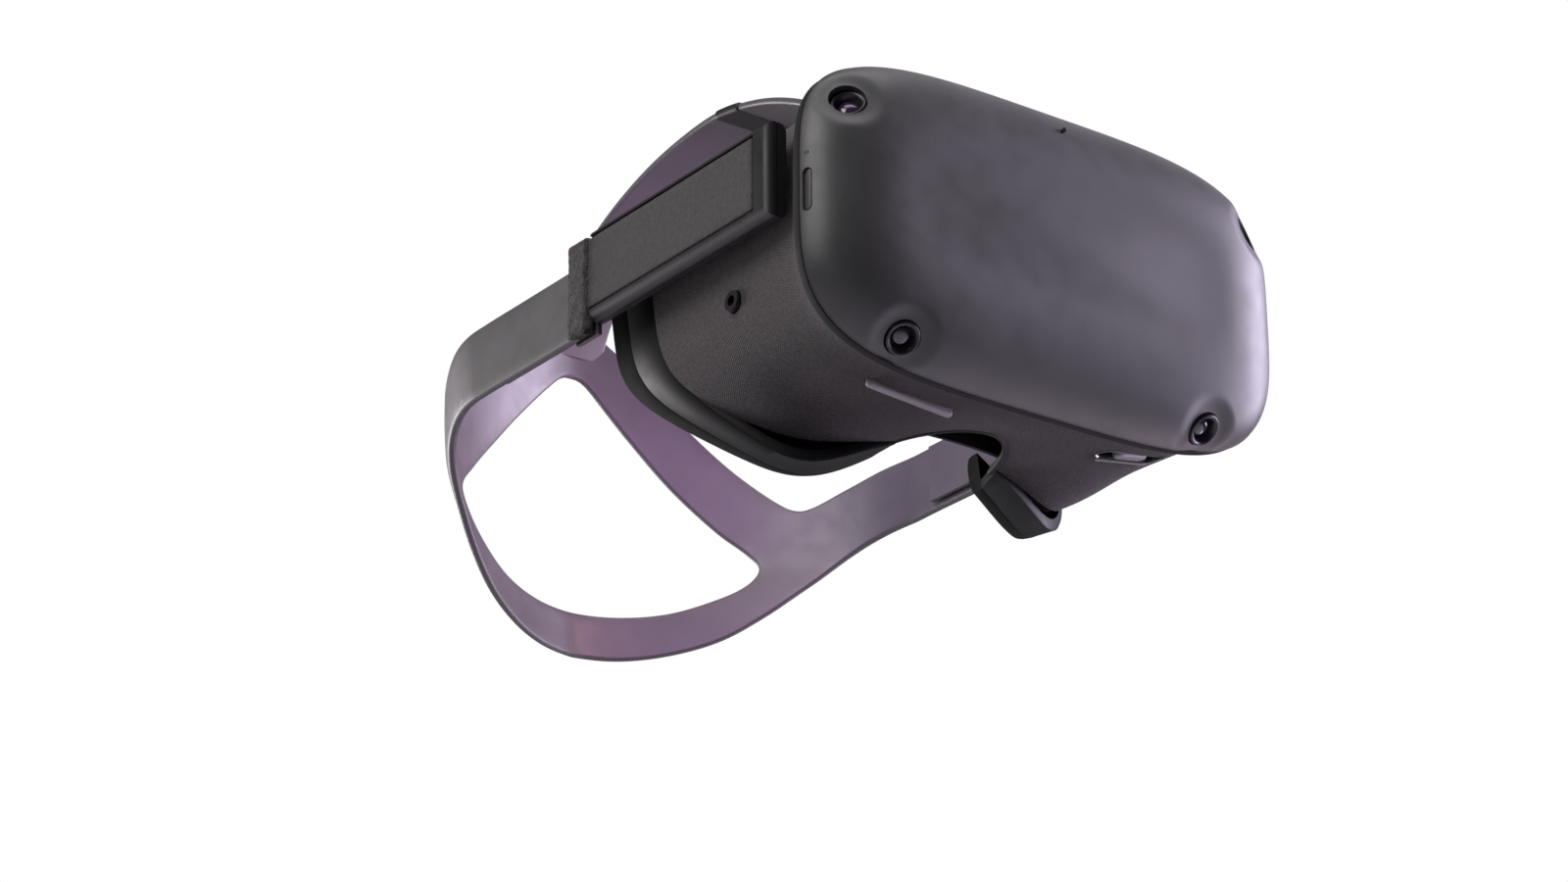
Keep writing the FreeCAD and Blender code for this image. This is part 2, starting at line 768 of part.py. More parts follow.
def tooth_bar(count, first_x, pitch_z, tip):
    """Rack teeth along X: tip is +1 for teeth that point up and -1 for teeth that point down."""
    module = size("tooth_module")
    pitch = math.pi * module
    slack = size("tooth_slack")
    teeth = []
    for i in range(count):
        x = first_x + i * pitch
        root_half = 0.25 * pitch - slack / 2 + 1.2 * module * math.tan(math.radians(20))
        tip_half = 0.25 * pitch - slack / 2 - 0.85 * module * math.tan(math.radians(20))
        points = [
            Vector(x - root_half, 0, pitch_z - tip * 1.2 * module),
            Vector(x - tip_half, 0, pitch_z + tip * 0.85 * module),
            Vector(x + tip_half, 0, pitch_z + tip * 0.85 * module),
            Vector(x + root_half, 0, pitch_z - tip * 1.2 * module),
        ]
        teeth.append(prism(points, Y_AXIS, size("rack_back"), size("rack_thick")))
    return teeth


def make_pinion():
    """The gear between both racks. Its teeth are trapezia with backlash, turning about Y over x = 0."""
    module = size("tooth_module")
    count = int(size("pinion_teeth"))
    pitch_radius = 0.5 * module * count
    root_radius = pitch_radius - 1.25 * module
    front = size("rack_back") + 0.2
    thick = size("rack_thick") - 0.4
    gear = Part.makeCylinder(root_radius, thick, Vector(0, front, 0), Y_AXIS)
    slack = size("tooth_slack")
    root_half = 0.25 * math.pi * module - slack / 2 + 0.62 * module
    tip_half = 0.25 * math.pi * module - slack / 2 - 0.42 * module
    for i in range(count):
        points = [
            Vector(root_radius - 0.4, 0, -root_half),
            Vector(pitch_radius, 0, -(0.25 * math.pi * module - slack / 2)),
            Vector(pitch_radius + 0.85 * module, 0, -tip_half),
            Vector(pitch_radius + 0.85 * module, 0, tip_half),
            Vector(pitch_radius, 0, 0.25 * math.pi * module - slack / 2),
            Vector(root_radius - 0.4, 0, root_half),
        ]
        tooth = prism(points, Y_AXIS, front, thick)
        tooth.rotate(Vector(0, 0, 0), Y_AXIS, 360 * (i + 0.5) / count)
        gear = gear.fuse(tooth)
    gear = gear.cut(Part.makeCylinder(1.55, 8, Vector(0, front - 2, 0), Y_AXIS))
    keep_shape("ipd_pinion", gear.translated(Z_AXIS * size("pinion_up")).removeSplitter())
    start = ("0", "Sizes.pinion_pin_front", "Sizes.pinion_up")
    pin = rod("pinion_pin_rod", "Sizes.pinion_pin", "Sizes.pinion_pin_length", start, Y_AXIS)
    bracket = block(
        "bracket",
        ("-Sizes.bracket_half", "Sizes.pinion_pin_front", "Sizes.bracket_bottom"),
        ("2 * Sizes.bracket_half", "Sizes.bracket_thick", "Sizes.bracket_height"),
    )
    keep_source("pinion_bracket", [fuse("pinion_support", [pin, bracket])])


def make_lens_unit(name, side):
    """One eye: display, its carrier with rail bosses and rack, a tapered barrel and the lens."""
    x = side * 0.5 * size("lens_apart")
    panel = (
        "%d * Sizes.lens_apart / 2 - Sizes.display_half" % side,
        "-Sizes.display_half - 3",
        "2 * Sizes.display_half",
        "2 * Sizes.display_half + 6",
    )
    display = slab_body("panel_" + name, "XZ_Plane", "Sizes.display_front", "Sizes.display_thick", [panel])
    front = size("display_front") + size("display_thick") + 0.4
    wall = size("barrel_wall")
    back = size("barrel_back")
    radius = size("barrel_radius")
    outer = Part.makeCylinder(radius, back - front, Vector(x, front, 0), Y_AXIS)
    inner = Part.makeCylinder(radius - wall, back - front + 2, Vector(x, front - 1, 0), Y_AXIS)
    ledge = Part.makeCylinder(radius - wall / 2, 1.5, Vector(x, size("lens_front") - 2.1, 0), Y_AXIS)
    window_start = Vector(x, size("lens_front") - 4, 0)
    ledge = ledge.cut(Part.makeCylinder(size("lens_radius") - 3, 6, window_start, Y_AXIS))
    carrier = outer.cut(inner).fuse(ledge)
    for height in (-size("rail_height"), size("rail_height")):
        boss_half = size("rail_boss_half")
        boss = Part.makeCylinder(3.4, 2 * boss_half, Vector(x - boss_half, size("rail_back"), height), X_AXIS)
        toward = -math.copysign(1, height)
        stem = Part.makeBox(2 * boss_half, 3, 10, Vector(x - boss_half, size("rail_back") - 1.5, 0))
        stem.translate(Z_AXIS * (height if toward > 0 else height - 10))
        carrier = carrier.fuse([boss, stem])
        carrier = carrier.cut(
            Part.makeCylinder(
                size("rail_radius") + size("rail_clearance"),
                4 * boss_half,
                Vector(x - 2 * boss_half, size("rail_back"), height),
                X_AXIS,
            )
        )
        carrier = carrier.cut(inner.cut(ledge))
    keep_source("display_" + name, [display])

    module = size("tooth_module")
    pitch = math.pi * module
    level = size("pinion_up") + side * 0.5 * module * size("pinion_teeth")
    tip = -side
    back_of_teeth = level - tip * 1.2 * module
    low = min(back_of_teeth, back_of_teeth - tip * size("rack_bar"))
    bar_start = x if side < 0 else -3.5 * pitch
    bar_end = 3.5 * pitch if side < 0 else x
    start = Vector(bar_start, size("rack_back"), low)
    bar = Part.makeBox(bar_end - bar_start, size("rack_thick"), size("rack_bar"), start)
    foot_low = radius + 0.2
    foot_start = Vector(x - 4, size("rack_back"), foot_low)
    foot = Part.makeBox(8, size("rack_thick"), low + 0.5 - foot_low, foot_start)
    rack = bar.fuse([foot] + tooth_bar(6, -2.5 * pitch, level, tip)).removeSplitter()
    keep_shape("lens_carrier_" + name, carrier)
    keep_shape("ipd_rack_" + name, rack)

    lens = Part.makeCylinder(size("lens_radius"), 3, Vector(x, size("lens_front"), 0), Y_AXIS)
    bulge = Part.makeSphere(48, Vector(x, size("lens_front") + size("lens_thick") - 48, 0))
    cap = Part.makeCylinder(size("lens_radius"), 12, Vector(x, size("lens_front") + 2.9, 0), Y_AXIS)
    keep_shape("lens_" + name, lens.fuse(bulge.common(cap)).removeSplitter())


def make_rails():
    rails = []
    for height in ("-Sizes.rail_height", "Sizes.rail_height"):
        start = ("-Sizes.rail_half", "Sizes.rail_back", height)
        rails.append(rod("rail", "Sizes.rail_radius", "2 * Sizes.rail_half", start, X_AXIS))
    keep_source("ipd_rails", rails)


def make_slider():
    """The lens slider's knob in its recess, and the stem that reaches the left lens carrier."""
    knob = slider_recess(4, -1.6)
    knob = knob.common(Part.makeBox(13, 20, 20, SLIDER - Vector(6.5, 10, 10)))
    knob.translate(Z_AXIS * 1.4)
    neck = Part.makeBox(4, 2, 7.0, SLIDER + Vector(-2, -1, 1.4))
    keep_shape("ipd_slider", knob.fuse(neck).removeSplitter())
    tray = slider_recess(3.2, 1.6).cut(slider_recess(3.2, -0.4).translated(Z_AXIS * -1.0))
    slot = Part.makeBox(4 + 9, 3, 16, SLIDER + Vector(-2 - 4.5, -1.5, -6))
    tray = tray.translated(Z_AXIS * 5.2).cut(slot)
    inside = size("fabric_thick") + size("skin_gap") + size("housing_wall") + 0.1
    keep_shape("slider_tray", tray.common(visor_loft(inside)))
    link = ("Sizes.link_left", "Sizes.link_front", "Sizes.link_width", "Sizes.link_length")
    body = slab_body("link", "XY_Plane", "Sizes.link_bottom", "Sizes.link_thick", [link])
    keep_source("slider_link", [body])


def make_controls():
    bar = volume_bar(5, 0)
    bar.translate(Z_AXIS * -0.9)
    keep_shape("volume_rocker", bar)
    for name, side in (("right", -1), ("left", 1)):
        place = "%d * (Sizes.jack_out - %s)"
        socket_start = (place % (side, "Sizes.jack_length"), "Sizes.jack_back", "Sizes.jack_up")
        bore_start = (place % (side, "Sizes.jack_bore_length"), "Sizes.jack_back", "Sizes.jack_up")
        outer_end = X_AXIS * side
        socket = rod("socket_" + name, "Sizes.jack_radius", "Sizes.jack_length", socket_start, outer_end)
        bore = rod("bore_" + name, "Sizes.jack_bore", "Sizes.jack_bore_length + 1", bore_start, outer_end)
        keep_source("audio_jack_" + name, [cut("jack_cut_" + name, socket, bore)])
    shell = port_body(size("port_depth") + 9, 0.9)
    mouth = port_body(size("port_depth") + 9, 0).translated(X_AXIS * (size("port_depth") - 5.8))
    tongue = Part.makeBox(5, 6.2, 0.7, Vector(PORT_START, size("port_back") - 3.1, size("port_up") - 0.35))
    keep_shape("usb_c_port", shell.cut(mouth).fuse(tongue.translated(X_AXIS * 1)).removeSplitter())


# ---------------------------------------------------------------- side arms and straps


def make_arms():
    """Each arm: an outer shell with a long recess for the strap, an inner shell and a stiff plate."""
    inner_x = size("arm_inner_x")
    outer_x = size("arm_outer_x")
    split = size("arm_split_x")
    front, back = size("arm_front"), size("arm_back")
    bottom, top = size("arm_bottom"), size("arm_top")
    whole = Part.makeBox(outer_x - inner_x, back - front, top - bottom, Vector(-outer_x, front, bottom))
    long_edges = [edge for edge in whole.Edges if runs_along(edge, Y_AXIS)]
    front_edges = [
        edge
        for edge in whole.Edges
        if runs_along(edge, Z_AXIS) and edge.CenterOfMass.y < front + 1 and edge.CenterOfMass.x < -inner_x - 1
    ]
    whole = whole.makeFillet(size("arm_corner"), long_edges + front_edges)
    recess = Part.makeBox(
        size("panel_depth"),
        back - size("panel_front") + 2,
        size("panel_top") - size("panel_bottom"),
        Vector(-outer_x, size("panel_front"), size("panel_bottom")),
    )
    whole = whole.cut(recess)
    gap = 0.15
    outer_half = Part.makeBox(20, 140, 60, Vector(-split - gap - 20, 0, -20))
    inner_half = Part.makeBox(20, 140, 60, Vector(-split + gap, 0, -20))
    pin_hole = Part.makeCylinder(
        size("pivot_radius") + size("pivot_clearance"),
        12,
        Vector(-inner_x - 3.0, size("pivot_back"), size("pivot_up")),
        X_AXIS,
    )
    slot = Part.makeBox(
        size("plate_thick") + size("plate_slot"),
        140,
        20,
        Vector(-split + gap - 0.1, size("plate_front") - 1, 2),
    )
    speaker_gap = Part.makeBox(4.4, 24.4, 9.4, Vector(-inner_x - 3.5, 71.8, 7.8))
    keep_side("arm_outer", whole.common(outer_half))
    keep_side("arm_inner", whole.common(inner_half).cut(pin_hole).cut(slot).cut(speaker_gap))

    make_arm_plate()
    make_pivot()
    make_side_strap()


def make_arm_plate():
    """The arm's stiff core, wider behind the strap's fold, with a tail inside the band; and the speaker."""
    narrow = (
        "Sizes.plate_front",
        "Sizes.plate_bottom",
        "Sizes.plate_step - Sizes.plate_front + 1",
        "Sizes.plate_height",
    )
    wide = (
        "Sizes.plate_step",
        "Sizes.plate_wide_bottom",
        "Sizes.plate_wide_back - Sizes.plate_step",
        "Sizes.plate_wide_height",
    )
    tail = (
        "Sizes.plate_wide_back - 1",
        "Sizes.plate_tail_bottom",
        "Sizes.plate_back - Sizes.plate_wide_back + 1",
        "Sizes.plate_tail_height",
    )
    hole = ("Sizes.pivot_back", "Sizes.pivot_up", "Sizes.pivot_radius + Sizes.pivot_clearance")
    window = (
        "Sizes.speaker_front - Sizes.speaker_play",
        "Sizes.speaker_bottom - Sizes.speaker_play",
        "Sizes.speaker_length + 2 * Sizes.speaker_play",
        "Sizes.speaker_height + 2 * Sizes.speaker_play",
    )
    start = "0.25 - Sizes.arm_split_x"
    slabs = [narrow, wide, tail]
    plate = slab_body("plate", "YZ_Plane", start, "Sizes.plate_thick", slabs, [hole], [window])
    keep_pair("arm_plate", plate)
    front = ("Sizes.speaker_front", "Sizes.speaker_bottom", "Sizes.speaker_length", "Sizes.speaker_height")
    offset = "-Sizes.arm_inner_x - Sizes.speaker_sunk"
    keep_pair("speaker", slab_body("speaker", "YZ_Plane", offset, "Sizes.speaker_thick", [front]))


def make_pivot():
    """The pin that each arm turns on, with the boss that seats it in the housing."""
    pin_start = ("-Sizes.arm_inner_x - Sizes.pin_end", "Sizes.pivot_back", "Sizes.pivot_up")
    pin = rod("pivot_pin", "Sizes.pivot_radius", "Sizes.pin_length", pin_start, X_AXIS)
    boss_start = ("-Sizes.boss_start", "Sizes.pivot_back", "Sizes.pivot_up")
    boss = rod("pivot_boss", "Sizes.boss_radius", "Sizes.boss_thick", boss_start, X_AXIS)
    keep_pair("arm_pivot", fuse("pivot", [pin, boss]))


def make_side_strap():
    """Hook-and-loop tape in the arm's recess, its fold behind the arm, cut to the cradle's end."""
    outer_x = size("arm_outer_x")
    gap = size("panel_gap")
    panel = Part.makeBox(
        size("panel_thick"),
        size("fold_front") - size("panel_front") - gap,
        size("panel_top") - size("panel_bottom") - gap - size("panel_play"),
        Vector(-outer_x + 0.3, size("panel_front") + gap, size("panel_bottom") + gap),
    )
    fold = Part.makeBox(
        outer_x + 1.0 - size("arm_split_x") - 0.1,
        size("fold_back") - size("fold_front"),
        size("fold_top") - size("fold_bottom"),
        Vector(-outer_x - 1.0, size("fold_front"), size("fold_bottom")),
    )
    band_end = ring_solid(-0.1).cut(ring_solid(size("band_thick") + 0.1))
    band_end.translate(Y_AXIS * -0.1)
    keep_side("side_strap", solid_of(panel.fuse(fold).removeSplitter().cut(band_end)))


def keep_side(stem, shape):
    """Keeps a shape drawn on the wearer's right, and its mirror image on the left."""
    keep_shape(stem + "_right", shape)
    keep_shape(stem + "_left", shape.mirror(Vector(0, 0, 0), X_AXIS))


# the cradle's plan at five heights: height, half width, furthest back, power of its rounding
RING_LEVELS = [
    (-75, 84, 258, 1.50),
    (-30, 92, 266, 1.65),
    (-10, 95, 267, 1.8),
    (26, 95, 267, 1.8),
    (95, 88, 262, 1.65),
]


def ring_face(offset, level):
    """The cradle's plan at one height, closed in front, shrunk by an offset."""
    height, half, back, power = level
    half -= offset
    reach = back - size("ring_bend") - offset
    points = []
    steps = 36
    for i in range(steps + 1):
        turn = math.pi * i / steps
        x = half * signed_power(math.cos(turn), 2 / power)
        y = size("ring_bend") + reach * math.sin(turn) ** (2 / power)
        points.append(Vector(x, y, height))
    curve = Part.BSplineCurve()
    curve.interpolate(points)
    corners = [
        points[-1],
        Vector(-half, size("band_start"), height),
        Vector(half, size("band_start"), height),
        points[0],
    ]
    sides = [Part.makeLine(corners[i], corners[i + 1]) for i in range(3)]
    return Part.Wire([curve.toShape()] + sides)


def ring_solid(offset):
    """Everything inside the cradle's outer surface, shrunk by an offset."""
    return Part.makeLoft([ring_face(offset, level) for level in RING_LEVELS], True, False)


def ring_wall():
    """The cradle's wall before its edges are cut, open in front."""
    inner = ring_solid(size("band_thick"))
    inner.translate(Y_AXIS * -0.01)
    return ring_solid(0).cut(inner)


# back view of the cradle's edges, x and z, from the bottom round to the top on one side
CRADLE_EDGE = [
    (0, -55), (17, -54.3), (34, -51), (50, -45), (63, -36), (76, -24.5), (87, -13.5), (93, -8),
    (99, -5.5), (99, 19.5), (93, 17.5), (87, 13), (80, 8), (76, 7.5), (71, 11.5), (59, 24),
    (45, 39), (31, 54), (20, 65), (12, 71),
]
CRADLE_HOLE = [
    (0, -37), (17, -36.5), (34, -34), (48, -29), (60, -22.5), (65.5, -15), (62, -8), (54, 0.5),
    (40, 16), (25, 33), (12, 47), (5, 53.5), (0, 54.6),
]


def smooth_prism(points, is_hole):
    """A back-view outline, mirrored, as a bar along Y across the cradle's wall."""
    right = [Vector(x, 0, z) for x, z in points]
    left = [Vector(-p.x, 0, p.z) for p in reversed(right) if p.x > 0]
    if is_hole:
        wire = closed_spline(right + left)
    else:
        wire = Part.makePolygon(right + left + right[:1])
    face = Part.Face(wire)
    face.translate(Y_AXIS * (size("band_start") - 5))
    return face.extrude(Y_AXIS * 200)


def make_cradle():
    wall = ring_wall()
    wall = wall.common(smooth_prism(CRADLE_EDGE, False))
    wall = wall.cut(smooth_prism(CRADLE_HOLE, True))
    keep_shape("head_cradle", wall.removeSplitter())


# side view of the top strap's middle line, y and z, from the crown forward to the visor
TOP_STRAP = [
    (263.5, 58), (258.5, 73), (246, 88), (226, 100.5), (200, 110), (172, 114.5),
    (150, 114), (124, 107), (98, 94), (72, 75.5), (52, 60), (36, 54.4),
]


def strap_strip(first, last, lift=0.0):
    """The stretch of top strap between two of the line's points, as wide and thick as the strap."""
    curve = Part.BSplineCurve()
    curve.interpolate([Vector(0, y, z) for y, z in TOP_STRAP])
    begin = curve.parameter(Vector(0, *TOP_STRAP[first]))
    end = curve.parameter(Vector(0, *TOP_STRAP[last]))
    half = 0.5 * size("top_strap_thick")
    steps = 16
    upper, lower = [], []
    for i in range(steps + 1):
        where = begin + (end - begin) * i / steps
        point = curve.value(where)
        along = curve.tangent(where)[0]
        across = Vector(0, along.z, -along.y).normalize()
        upper.append(point + across * (half + lift))
        lower.append(point - across * (half - lift))
    rims = []
    for line in (upper, lower):
        rim = Part.BSplineCurve()
        rim.interpolate(line)
        rims.append(rim.toShape())
    ends = [Part.makeLine(upper[0], lower[0]), Part.makeLine(upper[-1], lower[-1])]
    face = Part.Face(Part.Wire(Part.__sortEdges__(rims + ends)))
    width = size("top_strap_half")
    face.translate(X_AXIS * -width)
    return face.extrude(X_AXIS * 2 * width)


def make_top_strap():
    split = 6
    rear = strap_strip(0, split)
    wall_side = Part.makeBox(60, 60, 110, Vector(-30, size("ring_bend") + 40, -20))
    rear = rear.cut(wall_side.cut(ring_solid(size("band_thick") + 0.1)))
    front = strap_strip(split, len(TOP_STRAP) - 1)
    gap = Part.makeBox(40, 1.2, 60, Vector(-20, TOP_STRAP[split][0] - 0.6, 80))
    keep_shape("top_strap_rear", rear.cut(gap))
    keep_shape("top_strap_front", front.cut(gap))
    plan = ("-Sizes.anchor_half", "Sizes.anchor_front", "2 * Sizes.anchor_half", "Sizes.anchor_length")
    anchor = slab_body("anchor", "XY_Plane", "Sizes.anchor_bottom", "Sizes.anchor_thick", [plan])
    keep_source("top_strap_anchor", [anchor])


# ---------------------------------------------------------------- fasteners


def make_screws():
    """Eight small screws that hold the chassis plate to the housing, as one group."""
    screws = []
    for x, z in SCREW_PLACES:
        shank_start = (str(x), "Sizes.screw_front", str(z))
        head_start = (str(x), "Sizes.screw_front + Sizes.screw_length - 0.2", str(z))
        shank = rod("shank", "Sizes.screw_radius", "Sizes.screw_length", shank_start, Y_AXIS)
        head = rod("head", "Sizes.screw_head", "Sizes.head_thick", head_start, Y_AXIS)
        screws.append(fuse("screw", [shank, head]))
    keep_source("chassis_screws", screws)


# ---------------------------------------------------------------- run
make_cover()
make_cover_details()
make_gasket()
make_housing()
make_face_side()
make_lens_baffle()
make_electronics()
make_fan()
make_pinion()
make_lens_unit("right", -1)
make_lens_unit("left", 1)
make_rails()
make_slider()
make_controls()
make_arms()
make_cradle()
make_top_strap()
make_screws()

doc.recompute()
failed = []
for item in doc.Objects:
    if "Invalid" in item.State or "Error" in item.State:
        failed.append(item.Name)
for node, item in nodes.items():
    if item.Shape.isNull() or not item.Shape.isValid() or not item.Shape.Solids:
        failed.append(node)
if failed:
    raise RuntimeError("these did not build: " + ", ".join(failed))

os.makedirs("parts", exist_ok=True)
for node, item in nodes.items():
    item.Shape.exportStep("parts/%s.step" % node)
print(len(nodes), "sub-parts")
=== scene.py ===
"""Looks of a stand-alone virtual reality headset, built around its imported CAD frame.

Shapes are worked out in the visor's own frame, in millimetres: x = 0 is the middle, y = 0 the seam
between the front cover and the fabric housing, z = 0 half way up the cover, +Y towards the back of
the head. at() turns such a point into the frame's metres. Every piece rides on the CAD body that it
belongs to, so the looks move as the mechanism does.
"""

import json
import math

import bmesh
import bpy
from mathutils import Matrix, Vector
from mathutils.geometry import delaunay_2d_cdt


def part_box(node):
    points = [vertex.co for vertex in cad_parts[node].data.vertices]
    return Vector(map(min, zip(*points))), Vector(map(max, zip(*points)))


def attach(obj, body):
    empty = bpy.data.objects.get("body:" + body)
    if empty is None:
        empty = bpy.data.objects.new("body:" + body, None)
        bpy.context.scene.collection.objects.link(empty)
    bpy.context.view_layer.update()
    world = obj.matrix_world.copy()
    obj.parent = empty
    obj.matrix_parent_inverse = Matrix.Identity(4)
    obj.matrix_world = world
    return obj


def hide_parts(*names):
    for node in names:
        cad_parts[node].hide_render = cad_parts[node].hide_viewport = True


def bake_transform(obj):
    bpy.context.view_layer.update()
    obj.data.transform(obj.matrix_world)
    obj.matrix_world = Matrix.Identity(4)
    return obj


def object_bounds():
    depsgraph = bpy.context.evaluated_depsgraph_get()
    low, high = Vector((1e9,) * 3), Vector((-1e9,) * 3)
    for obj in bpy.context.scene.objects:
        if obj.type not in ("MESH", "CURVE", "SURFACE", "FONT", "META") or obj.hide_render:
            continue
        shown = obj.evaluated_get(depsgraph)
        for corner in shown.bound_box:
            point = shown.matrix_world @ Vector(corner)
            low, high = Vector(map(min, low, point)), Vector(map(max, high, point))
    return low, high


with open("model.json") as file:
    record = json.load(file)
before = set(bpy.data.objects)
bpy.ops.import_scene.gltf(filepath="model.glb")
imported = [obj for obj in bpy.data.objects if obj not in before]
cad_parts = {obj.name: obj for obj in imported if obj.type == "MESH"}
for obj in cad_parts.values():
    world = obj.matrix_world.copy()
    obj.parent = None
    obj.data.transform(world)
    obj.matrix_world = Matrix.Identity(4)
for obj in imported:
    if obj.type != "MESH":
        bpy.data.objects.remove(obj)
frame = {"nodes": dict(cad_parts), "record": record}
cad_low, cad_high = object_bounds()

MM = 0.001
seam_low, seam_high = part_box("seam_gasket")
SEAM = (seam_low + seam_high) / 2
cover_low, cover_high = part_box("front_cover")
COVER_HALF_WIDTH = (cover_high.x - cover_low.x) / 2 / MM
COVER_HALF_HEIGHT = (cover_high.z - cover_low.z) / 2 / MM
COVER_BACK = (cover_high.y - SEAM.y) / MM
COVER_FRONT = (cover_low.y - SEAM.y) / MM

Z_UP = Vector((0, 0, 1))


def at(x, y, z):
    """A point of the visor's frame, in millimetres, as a point of the CAD frame in metres."""
    return Vector((x * MM, y * MM, z * MM)) + SEAM


def span(node):
    """A CAD node's lowest and highest corners in the visor's frame, in millimetres."""
    low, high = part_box(node)
    return (low - SEAM) / MM, (high - SEAM) / MM


# ---------------------------------------------------------------- materials


class Shader:
    """A procedural material and short calls for the nodes that it uses."""

    def __init__(self, name, base, roughness, **constants):
        self.material = bpy.data.materials.new(name)
        self.material.use_nodes = True
        self.tree = self.material.node_tree
        self.bsdf = self.tree.nodes["Principled BSDF"]
        self.bsdf.inputs["Base Color"].default_value = (*base, 1)
        self.bsdf.inputs["Roughness"].default_value = roughness
        for socket, value in constants.items():
            self.bsdf.inputs[socket.replace("_", " ")].default_value = value

    def node(self, kind, inputs=None, **settings):
        made = self.tree.nodes.new("ShaderNode" + kind)
        for key, value in settings.items():
            setattr(made, key, value)
        for socket, value in (inputs or {}).items():
            self.feed(made.inputs[socket], value)
        return made

    def feed(self, socket, value):
        if isinstance(value, bpy.types.NodeSocket):
            self.tree.links.new(value, socket)
        else:
            socket.default_value = value

    def place(self):
        """Where a point is in its piece, in metres."""
        return self.node("TexCoord").outputs["Object"]

    def noise(self, scale, detail=2.0, where=None):
        made = self.node("TexNoise", {"Scale": scale, "Detail": detail})
        self.feed(made.inputs["Vector"], where or self.place())
        return made.outputs["Fac"]

    def math(self, operation, first, second=0.0):
        return self.node("Math", {0: first, 1: second}, operation=operation).outputs[0]

    def ramp(self, value, low, high):
        """Remaps a value around a half to the span from low to high."""
        made = self.node("MapRange", {"Value": value, "To Min": low, "To Max": high})
        made.inputs["From Min"].default_value = 0.3
        made.inputs["From Max"].default_value = 0.7
        return made.outputs["Result"]

    def tint(self, value, dark, light):
        """Base colour that runs from dark to light with value."""
        made = self.node("MixRGB", {"Fac": value, "Color1": (*dark, 1), "Color2": (*light, 1)})
        self.feed(self.bsdf.inputs["Base Color"], made.outputs[0])

    def rough(self, value, low, high):
        self.feed(self.bsdf.inputs["Roughness"], self.ramp(value, low, high))

    def bump(self, height, strength, depth):
        """Relief whose depth is in metres."""
        made = self.node("Bump", {"Height": height, "Strength": strength, "Distance": depth})
        self.feed(self.bsdf.inputs["Normal"], made.outputs[0])


def shade(colour, factor):
    """A colour made darker or lighter."""
    return tuple(channel * factor for channel in colour)


def moulded(name, base, roughness, grain=2600.0, relief=0.00004, strength=0.35, **constants):
    """Moulded or coated plastic: fine grain, slight mottling and uneven gloss."""
    made = Shader(name, base, roughness, **constants)
    made.tint(made.ramp(made.noise(38.0, 4.0), 0, 1), shade(base, 0.90), shade(base, 1.12))
    made.rough(made.noise(120.0, 3.0), roughness - 0.05, roughness + 0.05)
    made.bump(made.noise(grain, 2.0), strength, relief)
    return made.material


# one stitch of the knit, millimetres
KNIT_WIDTH = 0.95
KNIT_LENGTH = 1.25


def knitted(name, base, thread):
    """Close-knit cloth: slanted ribs of stitches crossing in both directions, heathered threads."""
    made = Shader(name, base, 0.82, Sheen_Weight=0.16, Sheen_Roughness=0.45, Specular_IOR_Level=0.25)
    made.bsdf.inputs["Sheen Tint"].default_value = (0.85, 0.78, 0.84, 1)
    cloth = made.node("UVMap").outputs["UV"]
    parts = made.node("SeparateXYZ", {"Vector": cloth}).outputs
    across = made.math("MULTIPLY", parts["X"], 2 * math.pi / KNIT_WIDTH)
    along = made.math("MULTIPLY", parts["Y"], 2 * math.pi / KNIT_LENGTH)
    right = made.math("SINE", made.math("ADD", across, along))
    left = made.math("SINE", made.math("SUBTRACT", across, along))
    crossing = made.math("MAXIMUM", right, left)
    stitch = made.math("MULTIPLY_ADD", crossing, 0.5)
    stitch.node.inputs[2].default_value = 0.5
    heather = made.ramp(made.noise(900.0, 3.0), 0.35, 1.0)
    made.tint(made.math("MULTIPLY", stitch, heather), base, thread)
    fuzz = made.math("MULTIPLY", made.noise(5200.0, 2.0), 0.35)
    made.bump(made.math("ADD", stitch, fuzz), 0.75, 0.00022)
    return made.material


def looped(name, base, tip, relief):
    """Hook-and-loop tape: a mat of short tangled loops."""
    made = Shader(name, base, 0.9, Sheen_Weight=0.15, Sheen_Roughness=0.5, Specular_IOR_Level=0.2)
    made.bsdf.inputs["Sheen Tint"].default_value = (0.8, 0.76, 0.78, 1)
    tangle = made.node("TexVoronoi", {"Scale": 1150.0}, feature="DISTANCE_TO_EDGE")
    made.feed(tangle.inputs["Vector"], made.place())
    curls = made.math("MULTIPLY", tangle.outputs["Distance"], 2.2)
    mat = made.math("ADD", curls, made.noise(2400.0, 4.0))
    made.tint(made.ramp(made.noise(700.0, 4.0), 0, 1), base, tip)
    made.bump(mat, 0.8, relief)
    return made.material


def polished(name, base, roughness, **constants):
    """Metal or gloss parts: a faint mottling keeps their highlights alive."""
    made = Shader(name, base, roughness, **constants)
    made.rough(made.noise(420.0, 3.0), max(roughness - 0.04, 0.02), roughness + 0.06)
    made.bump(made.noise(1800.0, 2.0), 0.15, 0.00002)
    return made.material


def clear(name, base, **constants):
    """Optical plastic or glass."""
    made = Shader(name, base, 0.03, Transmission_Weight=0.92, IOR=1.52, **constants)
    made.rough(made.noise(260.0, 2.0), 0.02, 0.05)
    return made.material


def glowing(name, base, strength):
    """The window of a small status light."""
    made = Shader(name, base, 0.3)
    made.feed(made.bsdf.inputs["Emission Color"], (*base, 1))
    made.feed(made.bsdf.inputs["Emission Strength"], strength)
    made.bump(made.noise(900.0), 0.1, 0.00002)
    return made.material


